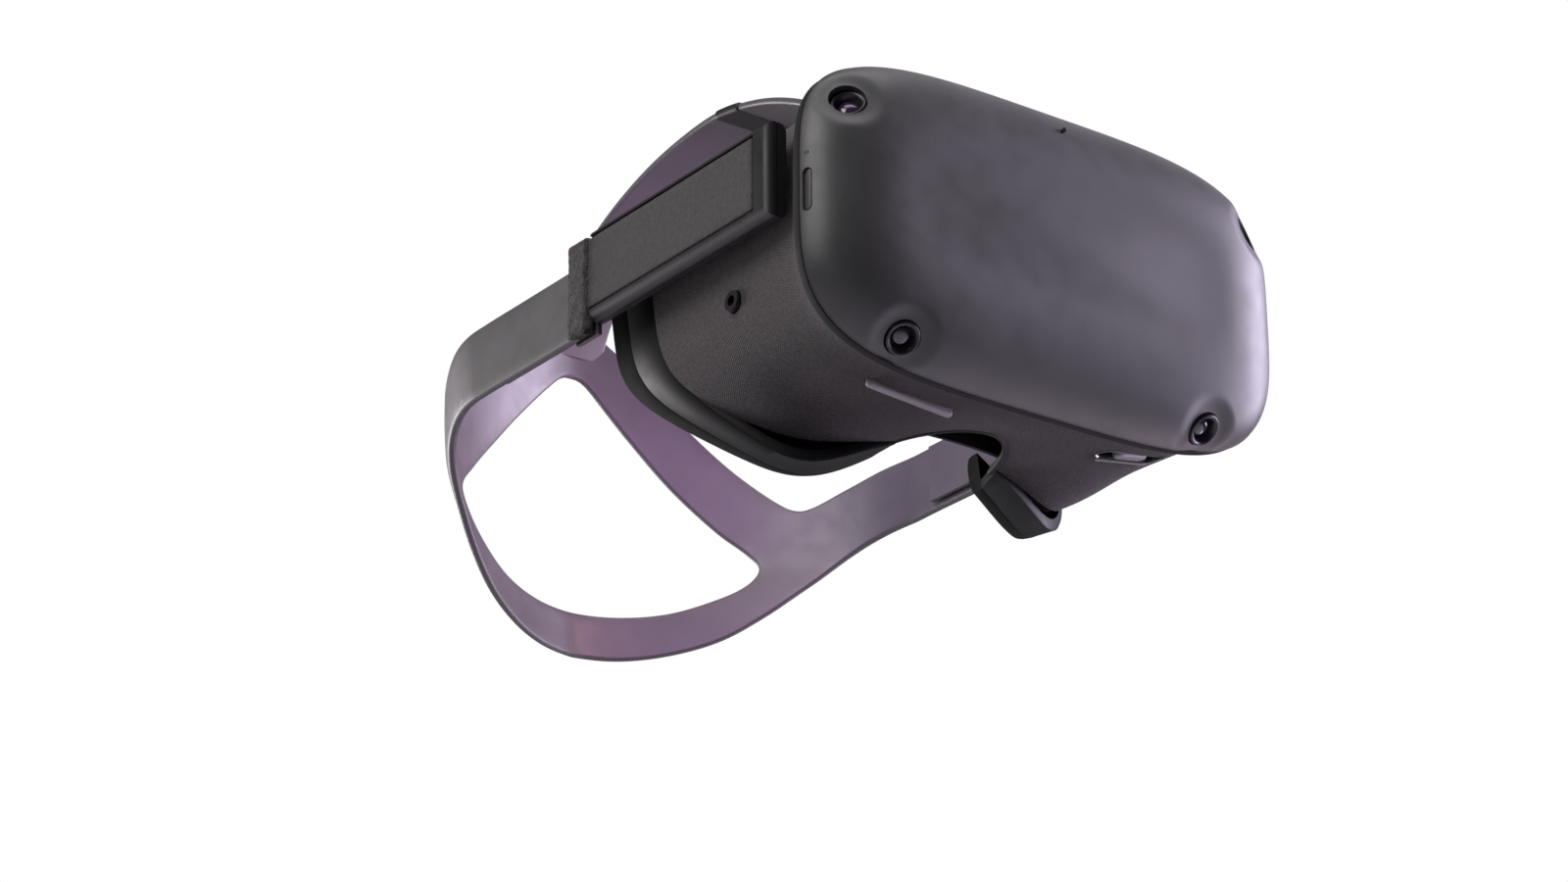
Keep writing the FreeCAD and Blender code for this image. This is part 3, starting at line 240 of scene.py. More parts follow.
def circuit(name):
    """Dark green circuit board with a faint pattern of tracks."""
    made = Shader(name, (0.01, 0.05, 0.03), 0.35, Coat_Weight=0.4)
    tracks = made.node("TexBrick", {"Scale": 240.0, "Mortar Size": 0.03})
    made.feed(tracks.inputs["Vector"], made.place())
    made.tint(tracks.outputs["Fac"], (0.008, 0.045, 0.028), (0.03, 0.12, 0.07))
    made.bump(tracks.outputs["Fac"], 0.3, 0.00005)
    return made.material


CHARCOAL = (0.040, 0.038, 0.041)
MATERIALS = {
    "soft_touch": moulded("soft_touch", CHARCOAL, 0.46, Sheen_Weight=0.12, Sheen_Roughness=0.4),
    "dark_plastic": moulded("dark_plastic", (0.011, 0.010, 0.011), 0.46, Specular_IOR_Level=0.3),
    "knit_fabric": knitted("knit_fabric", (0.012, 0.010, 0.011), (0.074, 0.066, 0.070)),
    "foam": moulded(
        "foam", (0.005, 0.005, 0.005), 0.66, grain=1500.0, relief=0.00006, Specular_IOR_Level=0.1
    ),
    "face_rim": moulded("face_rim", (0.006, 0.006, 0.006), 0.5, Specular_IOR_Level=0.14),
    "gasket_rubber": moulded("gasket_rubber", (0.005, 0.005, 0.006), 0.7, Specular_IOR_Level=0.15),
    "strap_rubber": moulded("strap_rubber", (0.075, 0.070, 0.074), 0.44, grain=3200.0),
    "hook_loop": looped("hook_loop", (0.036, 0.033, 0.035), (0.056, 0.052, 0.054), 0.00014),
    "fuzzy_edge": looped("fuzzy_edge", (0.022, 0.020, 0.021), (0.075, 0.069, 0.072), 0.0005),
    "lens_glass": polished("lens_glass", (0.026, 0.012, 0.044), 0.08, Coat_Weight=0.3, Coat_Roughness=0.04),
    "clear_lens": clear("clear_lens", (0.95, 0.96, 1.0), Coat_Weight=0.5),
    "gloss_black": polished("gloss_black", (0.012, 0.011, 0.013), 0.16, Coat_Weight=0.6),
    "bezel": moulded("bezel", (0.014, 0.010, 0.018), 0.34, Specular_IOR_Level=0.35),
    "light_control": moulded("light_control", (0.44, 0.39, 0.43), 0.38),
    "metal": polished("metal", (0.62, 0.61, 0.60), 0.28, Metallic=1.0),
    "steel": polished("steel", (0.50, 0.50, 0.52), 0.32, Metallic=1.0),
    "board": circuit("board"),
    "cell": moulded("cell", (0.06, 0.065, 0.075), 0.5),
    "led": glowing("led", (0.10, 0.10, 0.11), 0.02),
}
slot_of_node = {part["node"]: part["material_slot"] for part in frame["record"]["subparts"]}


def dress(obj, material):
    """Gives an object one material in place of its own."""
    obj.data.materials.clear()
    obj.data.materials.append(material)


# ---------------------------------------------------------------- mesh helpers


def smooth(obj, angle=35.0):
    """Smooth shading with real edges kept sharp."""
    obj.data.shade_smooth()
    obj.data.set_sharp_from_angle(angle=math.radians(angle))


def new_piece(name, verts, faces, uvs=None):
    """A mesh object from points in the visor's frame; uvs holds one pair for each vertex."""
    mesh = bpy.data.meshes.new(name)
    mesh.from_pydata([at(*v) for v in verts], [], faces)
    if uvs:
        layer = mesh.uv_layers.new(name="cloth")
        for loop in mesh.loops:
            layer.data[loop.index].uv = uvs[loop.vertex_index]
    obj = bpy.data.objects.new(name, mesh)
    bpy.context.scene.collection.objects.link(obj)
    return obj


def finish_piece(obj, body, slot, *replaced, material=None, angle=35.0):
    """Shades a finished piece, gives it its material and body, and retires the CAD nodes it stands for."""
    dress(obj, MATERIALS[material or slot])
    smooth(obj, angle)
    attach(obj, body)
    if replaced:
        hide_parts(*replaced)
    return obj


def apply_all(obj):
    """Applies every modifier of a mesh object."""
    graph = bpy.context.evaluated_depsgraph_get()
    mesh = bpy.data.meshes.new_from_object(obj.evaluated_get(graph))
    obj.modifiers.clear()
    old = obj.data
    obj.data = mesh
    bpy.data.meshes.remove(old)
    mesh.name = obj.name


def modify(obj, kind, **settings):
    """Adds one modifier and applies it."""
    made = obj.modifiers.new(kind.lower(), kind)
    for key, value in settings.items():
        setattr(made, key, value)
    apply_all(obj)


def outward(obj):
    """Turns every face of a closed mesh outwards."""
    mesh = bmesh.new()
    mesh.from_mesh(obj.data)
    bmesh.ops.recalc_face_normals(mesh, faces=mesh.faces)
    mesh.to_mesh(obj.data)
    mesh.free()


def weld(obj, distance=0.00001):
    """Joins vertices that lie on each other."""
    mesh = bmesh.new()
    mesh.from_mesh(obj.data)
    bmesh.ops.remove_doubles(mesh, verts=mesh.verts, dist=distance)
    mesh.to_mesh(obj.data)
    mesh.free()


def carve(obj, tools):
    """Cuts tool meshes from obj and removes them."""
    for tool in tools:
        modify(obj, "BOOLEAN", operation="DIFFERENCE", solver="EXACT", object=tool)
        bpy.data.objects.remove(tool)


def lattice(rows, closed=True):
    """Quads between equal rows of vertices that are numbered row by row."""
    faces = []
    count = len(rows[0])
    last = count if closed else count - 1
    for j in range(len(rows) - 1):
        for i in range(last):
            k = (i + 1) % count
            a, b = j * count + i, j * count + k
            c, d = (j + 1) * count + k, (j + 1) * count + i
            faces.append((a, b, c, d))
    return faces


def cap(faces, start, count, flip=False):
    """Closes a ring of vertices with one face."""
    ring = tuple(range(start, start + count))
    faces.append(ring[::-1] if flip else ring)


def ringed_solid(name, rows):
    """A closed solid through equal rings of points, capped at both ends."""
    verts = [point for row in rows for point in row]
    count = len(rows[0])
    faces = lattice(rows)
    cap(faces, 0, count, True)
    cap(faces, len(verts) - count, count)
    obj = new_piece(name, verts, faces)
    outward(obj)
    return obj


def closed_ring(name, rows):
    """A ring whose section closes on itself, through equal rows of points."""
    rows = rows + rows[:1]
    ring = new_piece(name, [point for row in rows for point in row], lattice(rows))
    weld(ring)
    outward(ring)
    return ring


def basis(axis):
    """Two unit vectors across an axis."""
    axis = axis.normalized()
    side = axis.cross(Z_UP) if abs(axis.z) < 0.95 else axis.cross(Vector((1, 0, 0)))
    side.normalize()
    return side, axis.cross(side).normalized()


def lathe(name, origin, axis, profile, segments=64):
    """A solid turned about an axis: profile holds (distance along it, radius) pairs from end to end."""
    side, up = basis(axis)
    axis = axis.normalized()
    rows = []
    for along, radius in profile:
        row = []
        for i in range(segments):
            turn = 2 * math.pi * i / segments
            row.append(origin + axis * along + (side * math.cos(turn) + up * math.sin(turn)) * radius)
        rows.append(row)
    return ringed_solid(name, rows)


def signed_power(value, power):
    """A power that keeps its base's sign."""
    return math.copysign(abs(value) ** power, value)


def stadium(half, radius, segments):
    """Points round a bar with half-round ends, as (along, across) pairs."""
    outline = []
    for i in range(segments):
        turn = 2 * math.pi * (i + 0.5) / segments
        shift = half if math.cos(turn) > 0 else -half
        outline.append((math.cos(turn) * radius + shift, math.sin(turn) * radius))
    return outline


def pill(name, centre, along, out, length, width, height, rounding=0.9, segments=48):
    """A bar with half-round ends that stands out along out, its upper rim rolled over."""
    along, out = along.normalized(), out.normalized()
    across = along.cross(out)
    radius, half = width / 2, (length - width) / 2
    rows = []
    layers = [(0, 0.0)]
    for step in range(7):
        turn = 0.5 * math.pi * step / 6
        layers.append((rounding * (1 - math.cos(turn)), height - rounding * (1 - math.sin(turn))))
    for inset, lift in layers:
        outline = stadium(half, radius - inset, segments)
        rows.append([centre + along * x + across * y + out * lift for x, y in outline])
    return ringed_solid(name, rows)


def catmull(points, steps):
    """A smooth line through points, steps pieces to each stretch."""
    line = []
    padded = [points[0] * 2 - points[1], *points, points[-1] * 2 - points[-2]]
    for i in range(1, len(padded) - 2):
        a, b, c, d = padded[i - 1 : i + 3]
        for step in range(steps):
            t = step / steps
            line.append(
                0.5 * (2 * b + (c - a) * t + (2 * a - 5 * b + 4 * c - d) * t * t
                       + (3 * b - a - 3 * c + d) * t * t * t)
            )
    line.append(points[-1].copy())
    return line


# ---------------------------------------------------------------- the front cover

SUPER_POWER = 3.9
COVER_ROLL = 33.0
ROLL_POWER = 2.6
COVER_CROWN = 1.2
COVER_WALL = 2.0
RIM_ROUND = 1.1
RIM_BACK = 1.1
# the seam ring is a real dark part, set almost flush with the cover and reaching wider than the CAD gasket so
# that it also paints the seam's shade as a dark line
GASKET_INSET = 0.15
GASKET_WIDE = 5.0
GASKET_FRONT, GASKET_BACK = -1.55, 2.2
CAMERA_RADIUS = 5.6
CAMERA_FACING = {
    "bottom_right": Vector((-0.15, -0.70, -0.70)),
    "bottom_left": Vector((0.15, -0.70, -0.70)),
    "top_right": Vector((-0.60, -0.70, 0.38)),
    "top_left": Vector((0.60, -0.70, 0.38)),
}
BARREL_MIDDLE = 4.15
DISH_RADIUS = 12.5
DISH_DEPTH = 1.5


def camera_seat(name):
    """A camera's place on the cover and its facing, from its CAD barrel."""
    low, high = span("camera_barrel_" + name)
    axis = CAMERA_FACING[name].normalized()
    return (low + high) / 2 + axis * BARREL_MIDDLE, axis


def rim_point(turn, half_width, half_height, y):
    """A point of the visor's rounded outline."""
    x = half_width * signed_power(math.cos(turn), 2 / SUPER_POWER)
    z = half_height * signed_power(math.sin(turn), 2 / SUPER_POWER)
    return Vector((x, y, z))


def rim_row(inset, y, around):
    """A ring of points on the cover's outline, moved in by an inset."""
    width, height = COVER_HALF_WIDTH - inset, COVER_HALF_HEIGHT - inset
    return [rim_point(2 * math.pi * (i + 0.5) / around, width, height, y) for i in range(around)]


def cover_profile():
    """How far in from the rim and how far forward each ring of the cover lies."""
    depth = COVER_BACK - COVER_FRONT
    rings = [(RIM_ROUND, RIM_BACK), (0.35, RIM_BACK + 0.12), (0.0, RIM_BACK + 0.5)]
    steps = 34
    for i in range(1, steps + 1):
        turn = 0.5 * math.pi * i / steps
        forward = max(depth * math.sqrt(1 - math.cos(turn) ** ROLL_POWER), RIM_BACK + 0.8)
        rings.append((COVER_ROLL * (1 - math.cos(turn)), forward))
    return rings


def make_cover():
    """The pillow-shaped cover: rolled edge, slightly crowned front, dished round each camera."""
    around = 400
    verts = []
    rows = [rim_row(inset, COVER_BACK - forward, around) for inset, forward in cover_profile()]
    flat_width = COVER_HALF_WIDTH - COVER_ROLL
    flat_height = COVER_HALF_HEIGHT - COVER_ROLL
    inner_rings = 16
    for j in range(1, inner_rings):
        part = 1 - j / inner_rings
        crown = COVER_CROWN * (1 - part * part) ** 2
        rows.append([
            rim_point(2 * math.pi * (i + 0.5) / around, flat_width * part, flat_height * part,
                      COVER_FRONT - crown)
            for i in range(around)
        ])
    for row in rows:
        verts.extend(row)
    faces = lattice(rows)
    last = len(verts) - around
    verts.append(Vector((0, COVER_FRONT - COVER_CROWN, 0)))
    for i in range(around):
        faces.append((last + i, last + (i + 1) % around, len(verts) - 1))
    seats = [camera_seat(name) for name in CAMERA_FACING]
    for v in verts:
        for place, axis in seats:
            away = v - place
            across = (away - axis * away.dot(axis)).length
            if across < DISH_RADIUS and away.length < 2 * DISH_RADIUS:
                part = max(across - CAMERA_RADIUS, 0) / (DISH_RADIUS - CAMERA_RADIUS)
                dip = 0.5 + 0.5 * math.cos(math.pi * part)
                v -= axis * (DISH_DEPTH * dip)
    cover = new_piece("cover_shell", verts, faces)
    outward_open(cover, Vector((0, COVER_FRONT - 5, 0)))
    modify(cover, "SOLIDIFY", thickness=COVER_WALL * MM, offset=-1.0)
    tools = []
    for place, axis in seats:
        hole = CAMERA_RADIUS + 0.45
        tools.append(lathe("tool", place, axis, [(-12, hole), (8, hole)], 72))
    power_low, power_high = span("power_button")
    middle = (power_low + power_high) / 2
    tools.append(
        pill("tool", Vector((middle.x - 6, middle.y, middle.z)), Z_UP, Vector((1, 0, 0)),
             power_high.z - power_low.z + 0.6, power_high.y - power_low.y + 0.6, 12, 0.01)
    )
    for led in ("power_led", "front_led"):
        low, high = span(led)
        axis = Vector((1, 0, 0)) if led == "power_led" else Vector((0, 1, 0))
        radius = 0.5 * (high.z - low.z) + 0.05
        tools.append(lathe("tool", (low + high) / 2, axis, [(-6, radius), (6, radius)], 32))
    carve(cover, tools)
    finish_piece(cover, "visor", "soft_touch", "front_cover", angle=40)


def make_gasket():
    """The black rubber ring between the cover and the fabric, set almost flush and widened so that its black
    face also paints the shade of a deep seam line.
    """
    section = (
        (GASKET_INSET + 0.4, GASKET_FRONT), (GASKET_INSET, GASKET_FRONT + 0.4),
        (GASKET_INSET, GASKET_BACK - 0.9), (GASKET_INSET + 0.3, GASKET_BACK - 0.3),
        (GASKET_INSET + 0.9, GASKET_BACK), (GASKET_INSET + GASKET_WIDE, GASKET_BACK),
        (GASKET_INSET + GASKET_WIDE, GASKET_FRONT),
    )
    rows = [rim_row(inset, y, 200) for inset, y in section]
    finish_piece(closed_ring("seam_ring", rows), "visor", "gasket_rubber", "seam_gasket")


def outward_open(obj, outside):
    """Turns an open sheet's faces towards a point outside it."""
    mesh = bmesh.new()
    mesh.from_mesh(obj.data)
    bmesh.ops.recalc_face_normals(mesh, faces=mesh.faces)
    mesh.faces.ensure_lookup_table()
    nearest = min(mesh.faces, key=lambda f: (f.calc_center_median() - at(*outside)).length)
    if nearest.normal.dot(at(*outside) - nearest.calc_center_median()) < 0:
        bmesh.ops.reverse_faces(mesh, faces=mesh.faces)
    mesh.to_mesh(obj.data)
    mesh.free()


def make_camera(name):
    """A tracking camera: one smooth black funnel round a domed dark glass."""
    place, axis = camera_seat(name)
    outer = CAMERA_RADIUS
    bezel = lathe(
        "bezel_" + name, place, axis,
        [(-8, outer), (-0.75, outer), (-0.42, outer - 0.12), (-0.28, outer - 0.4), (-0.34, outer - 0.8),
         (-0.75, outer - 1.25), (-1.6, outer - 1.7), (-2.6, outer - 2.1), (-3.2, outer - 2.3), (-3.2, 0.4)],
        96,
    )
    finish_piece(bezel, "visor", "gloss_black", "camera_barrel_" + name, angle=50, material="bezel")
    dome_radius = outer - 2.35
    dome = []
    for step in range(13):
        turn = 0.5 * math.pi * step / 12
        dome.append((-3.1 + 1.5 * math.sin(turn), max(dome_radius * math.cos(turn), 0.05)))
    glass = lathe("camera_glass_" + name, place, axis, [(-3.4, dome_radius)] + dome, 72)
    finish_piece(glass, "visor", "lens_glass", "camera_lens_" + name, angle=60)


# ---------------------------------------------------------------- the fabric housing

# distance behind the seam, half width, half height, cheek lobes, nose notch
HOUSING_STATIONS = [
    (0.9, 92.2, 51.1, 0.00, 0.00),
    (5.0, 88.4, 50.9, 0.00, 0.00),
    (11.0, 85.6, 50.7, 0.00, 0.00),
    (20.0, 84.2, 50.4, 0.01, 0.01),
    (38.0, 83.2, 50.0, 0.02, 0.05),
    (57.0, 82.6, 49.4, 0.105, 0.16),
    (80.0, 82.4, 48.4, 0.090, 0.30),
    (104.0, 82.6, 47.0, 0.070, 0.40),
    (132.0, 83.0, 45.5, 0.020, 0.44),
]
LOBE_X, LOBE_SPREAD, NOTCH_SPREAD = 49.0, 26.0, 17.0
FACE_DROOP = 1.8
FABRIC_THICK = 0.9
FACE_CENTRE_BACK = 162.0
FACE_LEAN = math.radians(10)
FACE_AXIS = Vector((0, math.sin(FACE_LEAN), math.cos(FACE_LEAN)))
FACE_BEHIND = 70.0
FABRIC_EDGE_RADIUS = 107.0
NOSE_FRONT, NOSE_REACH, NOSE_HALF_WIDTH, NOSE_BRIDGE, NOSE_ROUND = 25.0, 48.0, 24.0, -16.0, 10.0


def housing_point(turn, station, inset, droop=0.0):
    """A point of the visor's tube, shrunk by an inset; droop deepens its cheeks."""
    y, width, height, lobe, notch = station
    point = rim_point(turn, width - inset, height - inset, y)
    if point.z < 0:
        bulge = lobe * (1 + droop) * math.exp(-(((abs(point.x) - LOBE_X) / LOBE_SPREAD) ** 2))
        dent = notch * math.exp(-((point.x / NOTCH_SPREAD) ** 2))
        point.z *= 1 + bulge - dent
    return point


def stations_between(count):
    """The housing's stations, run through smoothly at even distances."""
    padded = [Vector(s) for s in HOUSING_STATIONS]
    fine = catmull(padded, 12)
    first, last = HOUSING_STATIONS[0][0], HOUSING_STATIONS[-1][0]
    levels = []
    for j in range(count):
        y = first + (last - first) * (j / (count - 1)) ** 1.25
        k = next((n for n in range(len(fine) - 1) if fine[n + 1][0] >= y), len(fine) - 2)
        gap = fine[k + 1][0] - fine[k][0]
        part = (y - fine[k][0]) / gap if gap > 0 else 0
        levels.append(tuple(fine[k].lerp(fine[k + 1], part)))
    return levels


def nose_tool():
    """The nose's room as a closed bar: an oval with a rounded top."""
    rings = [(NOSE_BRIDGE - 100, 0.0), (NOSE_BRIDGE - NOSE_ROUND, 0.0)]
    for step in range(1, 9):
        turn = 0.5 * math.pi * step / 8
        rings.append((NOSE_BRIDGE - NOSE_ROUND * (1 - math.sin(turn)), NOSE_ROUND * (1 - math.cos(turn))))
    segments = 120
    rows = []
    for z, inset in rings:
        row = []
        for i in range(segments):
            turn = 2 * math.pi * i / segments
            x = (NOSE_HALF_WIDTH - inset) * math.cos(turn)
            y = NOSE_FRONT + NOSE_REACH + (NOSE_REACH - inset) * math.sin(turn)
            row.append(Vector((x, y, z)))
        rows.append(row)
    return ringed_solid("tool", rows)


def face_tool(radius):
    """Everything behind the face-shaped cylinder's front wall: what a shell's back edge is cut by."""
    axis = FACE_AXIS
    side = Vector((1, 0, 0))
    back = axis.cross(side)
    middle = Vector((0, FACE_CENTRE_BACK, 0))
    outline = [middle + side * radius + back * FACE_BEHIND, middle - side * radius + back * FACE_BEHIND]
    steps = 90
    for i in range(steps + 1):
        turn = math.pi * i / steps
        outline.append(middle - side * (radius * math.cos(turn)) - back * (radius * math.sin(turn)))
    return ringed_solid("tool", [[p - axis * 150 for p in outline], [p + axis * 150 for p in outline]])


def hole_tools(grow):
    """Bars that open the shell for the audio jacks, charging port, volume bar and lens slider."""
    tools = []
    for name in ("audio_jack_right", "audio_jack_left"):
        low, high = span(name)
        radius = 0.5 * (high.z - low.z) + grow
        tools.append(lathe("tool", (low + high) / 2, Vector((1, 0, 0)), [(-15, radius), (15, radius)], 64))
    low, high = span("usb_c_port")
    tools.append(pill("tool", Vector((low.x - 2, (low.y + high.y) / 2, (low.z + high.z) / 2)),
                      Vector((0, 1, 0)), Vector((1, 0, 0)),
                      high.y - low.y + 2 * grow, high.z - low.z + 2 * grow, 30, 0.01))
    top, along, out, length, width = volume_frame()
    tools.append(pill("tool", top - out * 6, along, out, length + 2 * grow, width + 2 * grow, 16, 0.01))
    tools.append(pill("tool", Vector((SLIDER_X, SLIDER_Y, -60)), Vector((1, 0, 0)), Z_UP,
                      2 * SLIDER_HALF, 2 * SLIDER_RADIUS, 18, 0.01))
    return tools


SLIDER_X, SLIDER_Y, SLIDER_HALF, SLIDER_RADIUS = 50.5, 16.0, 13.9, 4.6
VOLUME_TILT = math.radians(4.6)
VOLUME_DEEP = 5.0
KNOB_TILT = math.radians(9.5)


def volume_frame():
    """The volume bar's inner middle, its length and outward directions, and its length and width."""
    low, high = span("volume_rocker")
    along = Vector((math.cos(VOLUME_TILT), 0, -math.sin(VOLUME_TILT)))
    out = Vector((-math.sin(VOLUME_TILT), 0, -math.cos(VOLUME_TILT)))
    length = (high.x - low.x - VOLUME_DEEP * math.sin(VOLUME_TILT)) / math.cos(VOLUME_TILT)
    return (low + high) / 2 - out * (VOLUME_DEEP / 2), along, out, length, high.y - low.y


def make_fabric():
    """The knitted skin, one cloth from the seam to the face, opened for the nose and the controls."""
    around = 420
    levels = stations_between(60)
    verts, rows, uvs = [], [], []
    for station in levels:
        row = []
        travelled = 0.0
        for i in range(around + 1):
            turn = 2 * math.pi * (i / around) - 0.5 * math.pi + 0.0001
            point = housing_point(turn, station, 0.0)
            if row:
                travelled += (point - row[-1]).length
            row.append(point)
            uvs.append((travelled, station[0]))
        rows.append(row)
        verts.extend(row)
    faces = lattice(rows, closed=False)
    cloth = new_piece("knit_skin", verts, faces, uvs)
    outward_open(cloth, Vector((140, 40, 0)))
    weld(cloth)
    modify(cloth, "SOLIDIFY", thickness=FABRIC_THICK * MM, offset=-1.0)
    carve(cloth, [nose_tool(), face_tool(FABRIC_EDGE_RADIUS)] + hole_tools(0.4))
    finish_piece(cloth, "visor", "knit_fabric", "housing_fabric", angle=40)


def underside(x, y):
    """The point of the skin's underside at x and y."""
    for near, far in zip(HOUSING_STATIONS, HOUSING_STATIONS[1:]):
        if y <= far[0]:
            station = Vector(near).lerp(Vector(far), (y - near[0]) / (far[0] - near[0]))
            break
    turn = math.acos(min(abs(x) / station[1], 1.0) ** (SUPER_POWER / 2))
    point = housing_point(-turn, station, 0.0)
    return Vector((x, y, point.z))


NOSE_LIP = 1.15


def make_nose_lip():
    """The smooth rubber binding round the nose opening's edge."""
    line = []
    steps = 90
    for i in range(steps + 1):
        turn = math.pi * (1 + i / steps)
        y = NOSE_FRONT + NOSE_REACH + NOSE_REACH * math.sin(turn)
        point = underside(NOSE_HALF_WIDTH * math.cos(turn), y)
        if face_distance(point) > FABRIC_EDGE_RADIUS - 4:
            line.append(point + Z_UP * 0.5)
    segments = 16
    rows = []
    for k, point in enumerate(line):
        ahead = (line[min(k + 1, len(line) - 1)] - line[max(k - 1, 0)]).normalized()
        side, up = basis(ahead)
        row = []
        for i in range(segments):
            turn = 2 * math.pi * i / segments
            row.append(point + (side * math.cos(turn) + up * math.sin(turn)) * NOSE_LIP)
        rows.append(row)
    lip = ringed_solid("nose_lip", rows)
    finish_piece(lip, "visor", "dark_plastic", angle=60, material="face_rim")


# ---------------------------------------------------------------- soft face pad


def face_distance(point):
    """How far a point lies from the axis of the face's cylinder."""
    away = point - Vector((0, FACE_CENTRE_BACK, 0))
    return (away - FACE_AXIS * away.dot(FACE_AXIS)).length


def face_loop(section, around=300):
    """Rings round the visor for each (distance from the face's axis, inset) pair of a section."""
    levels = stations_between(70)
    rows = []
    for radius, inset in section:
        row = []
        for i in range(around):
            turn = 2 * math.pi * (i + 0.5) / around
            before, far = None, None
            for station in levels:
                point = housing_point(turn, station, inset, FACE_DROOP)
                near = face_distance(point)
                if near <= radius and before is not None:
                    row.append(before.lerp(point, (far - radius) / (far - near)))
                    break
                before, far = point, near
        rows.append(row)
    return rows


def face_ring(name, section):
    """A ring round the face opening, opened for the nose."""
    ring = closed_ring(name, face_loop(section))
    carve(ring, [nose_tool()])
    return ring


PAD_INSET, PAD_WIDE = 0.8, 12.6
PAD_FRONT, PAD_SHOULDER, PAD_EDGE, PAD_CROWN = 97.4, 95.8, 94.6, 3.4
CLIP_FRONT, CLIP_BACK, CLIP_WIDE = 106.8, 97.45, 3.0


def make_face_pad():
    """The frame clipped to the housing and the crowned foam that rests on the face."""
    middle = PAD_INSET + PAD_WIDE / 2
    crown = []
    for step in range(13):
        turn = math.pi * step / 12
        lift = math.sin(turn) ** 0.6
        crown.append((PAD_EDGE - PAD_CROWN * lift, middle - 0.5 * PAD_WIDE * math.cos(turn)))
    walls = [(PAD_FRONT, PAD_INSET + 0.1), (PAD_FRONT - 0.2, PAD_INSET), (PAD_SHOULDER, PAD_INSET)]
    ends = [(PAD_SHOULDER, PAD_INSET + PAD_WIDE), (PAD_FRONT, PAD_INSET + PAD_WIDE)]
    pad = face_ring("face_pad", walls + crown + ends)
    finish_piece(pad, "visor", "foam", "face_foam", angle=50)
    edge = PAD_INSET + CLIP_WIDE
    rim = face_ring("face_rim", [
        (CLIP_FRONT, PAD_INSET + 0.5), (CLIP_FRONT - 0.5, PAD_INSET), (CLIP_BACK + 0.15, PAD_INSET),
        (CLIP_BACK, PAD_INSET + 0.1), (CLIP_BACK, edge), (CLIP_FRONT, edge),
    ])
    finish_piece(rim, "visor", "dark_plastic", "face_frame", angle=50, material="face_rim")


# ---------------------------------------------------------------- controls


def make_controls():
    """The power key, the volume bar, and the lens spacing knob with its lip."""
    low, high = span("power_button")
    middle = (low + high) / 2
    button = pill("power_key", Vector((high.x, middle.y, middle.z)), Z_UP, Vector((-1, 0, 0)),
                  high.z - low.z, high.y - low.y, high.x - low.x, 0.7)
    finish_piece(button, "power_key", "soft_touch", "power_button")
    top, along, out, length, width = volume_frame()
    bar = pill("volume_bar", top, along, out, length, width, VOLUME_DEEP, 1.0)
    finish_piece(bar, "volume_key", "light_control", "volume_rocker")
    low, high = span("ipd_slider")
    knob_top = Vector(((low.x + high.x) / 2, (low.y + high.y) / 2, low.z + 4))
    along = Vector((math.cos(KNOB_TILT), 0, math.sin(KNOB_TILT)))
    out = Vector((math.sin(KNOB_TILT), 0, -math.cos(KNOB_TILT)))
    knob = pill("slider_knob", knob_top, along, out, high.x - low.x, high.y - low.y, 4, 1.2)
    stem = lathe("stem", knob_top - Z_UP, Z_UP, [(0, 1.6), (high.z - low.z - 3, 1.6)], 24)
    join(knob, stem)
    finish_piece(knob, "lens_unit_left", "light_control", "ipd_slider")
    make_slider_rim()


def join(obj, other):
    """Adds another piece's mesh to obj and removes that piece."""
    mesh = bmesh.new()
    mesh.from_mesh(obj.data)
    mesh.from_mesh(other.data)
    mesh.to_mesh(obj.data)
    mesh.free()
    bpy.data.objects.remove(other)


def make_slider_rim():
    """The bevelled lip round the lens slider's recess."""
    rows = []
    half = SLIDER_HALF - SLIDER_RADIUS
    for grow, lift in ((-0.1, 2.6), (-0.1, -0.1), (-0.35, -0.4), (-1.0, 0.1), (-1.5, 1.6), (-1.5, 2.6)):
        outline = stadium(half, SLIDER_RADIUS + grow, 72)
        rows.append([underside(SLIDER_X + x, SLIDER_Y + y) + Z_UP * lift for x, y in outline])
    finish_piece(closed_ring("slider_rim", rows), "visor", "gloss_black")


# ---------------------------------------------------------------- the head cradle

# the cradle's plan at five heights: height, half width, furthest back, power of its rounding
RING_LEVELS = [
    (-75, 84, 258, 1.50),
    (-30, 92, 266, 1.65),
    (-10, 95, 267, 1.80),
    (26, 95, 267, 1.80),
    (95, 88, 262, 1.65),
]
RING_BEND = 178.0
BAND_START = 118.0
BAND_THICK = 3.0
BAND_ROUND = 1.3
BAND_LOW, BAND_HIGH = -7.2, 18.2
# back view of the cradle's edges, x and z: below, above, and its triangular window
EDGE_BELOW = [(0, -55), (17, -54.3), (34, -51), (50, -45), (63, -36), (76, -24.5), (87, -13.5), (93, -8.2)]
EDGE_ABOVE = [
    (93, 17.4), (87, 13), (80, 8), (76, 7.5), (71, 11.5), (59, 24), (45, 39), (31, 54), (20, 65), (12, 71),
]
WINDOW = [
    (0, -37), (17, -36.5), (34, -34), (48, -29), (60, -22.5), (65.5, -15), (62, -8),
    (54, 0.5), (40, 16), (25, 33), (12, 47), (5, 53.5), (0, 54.6),
]


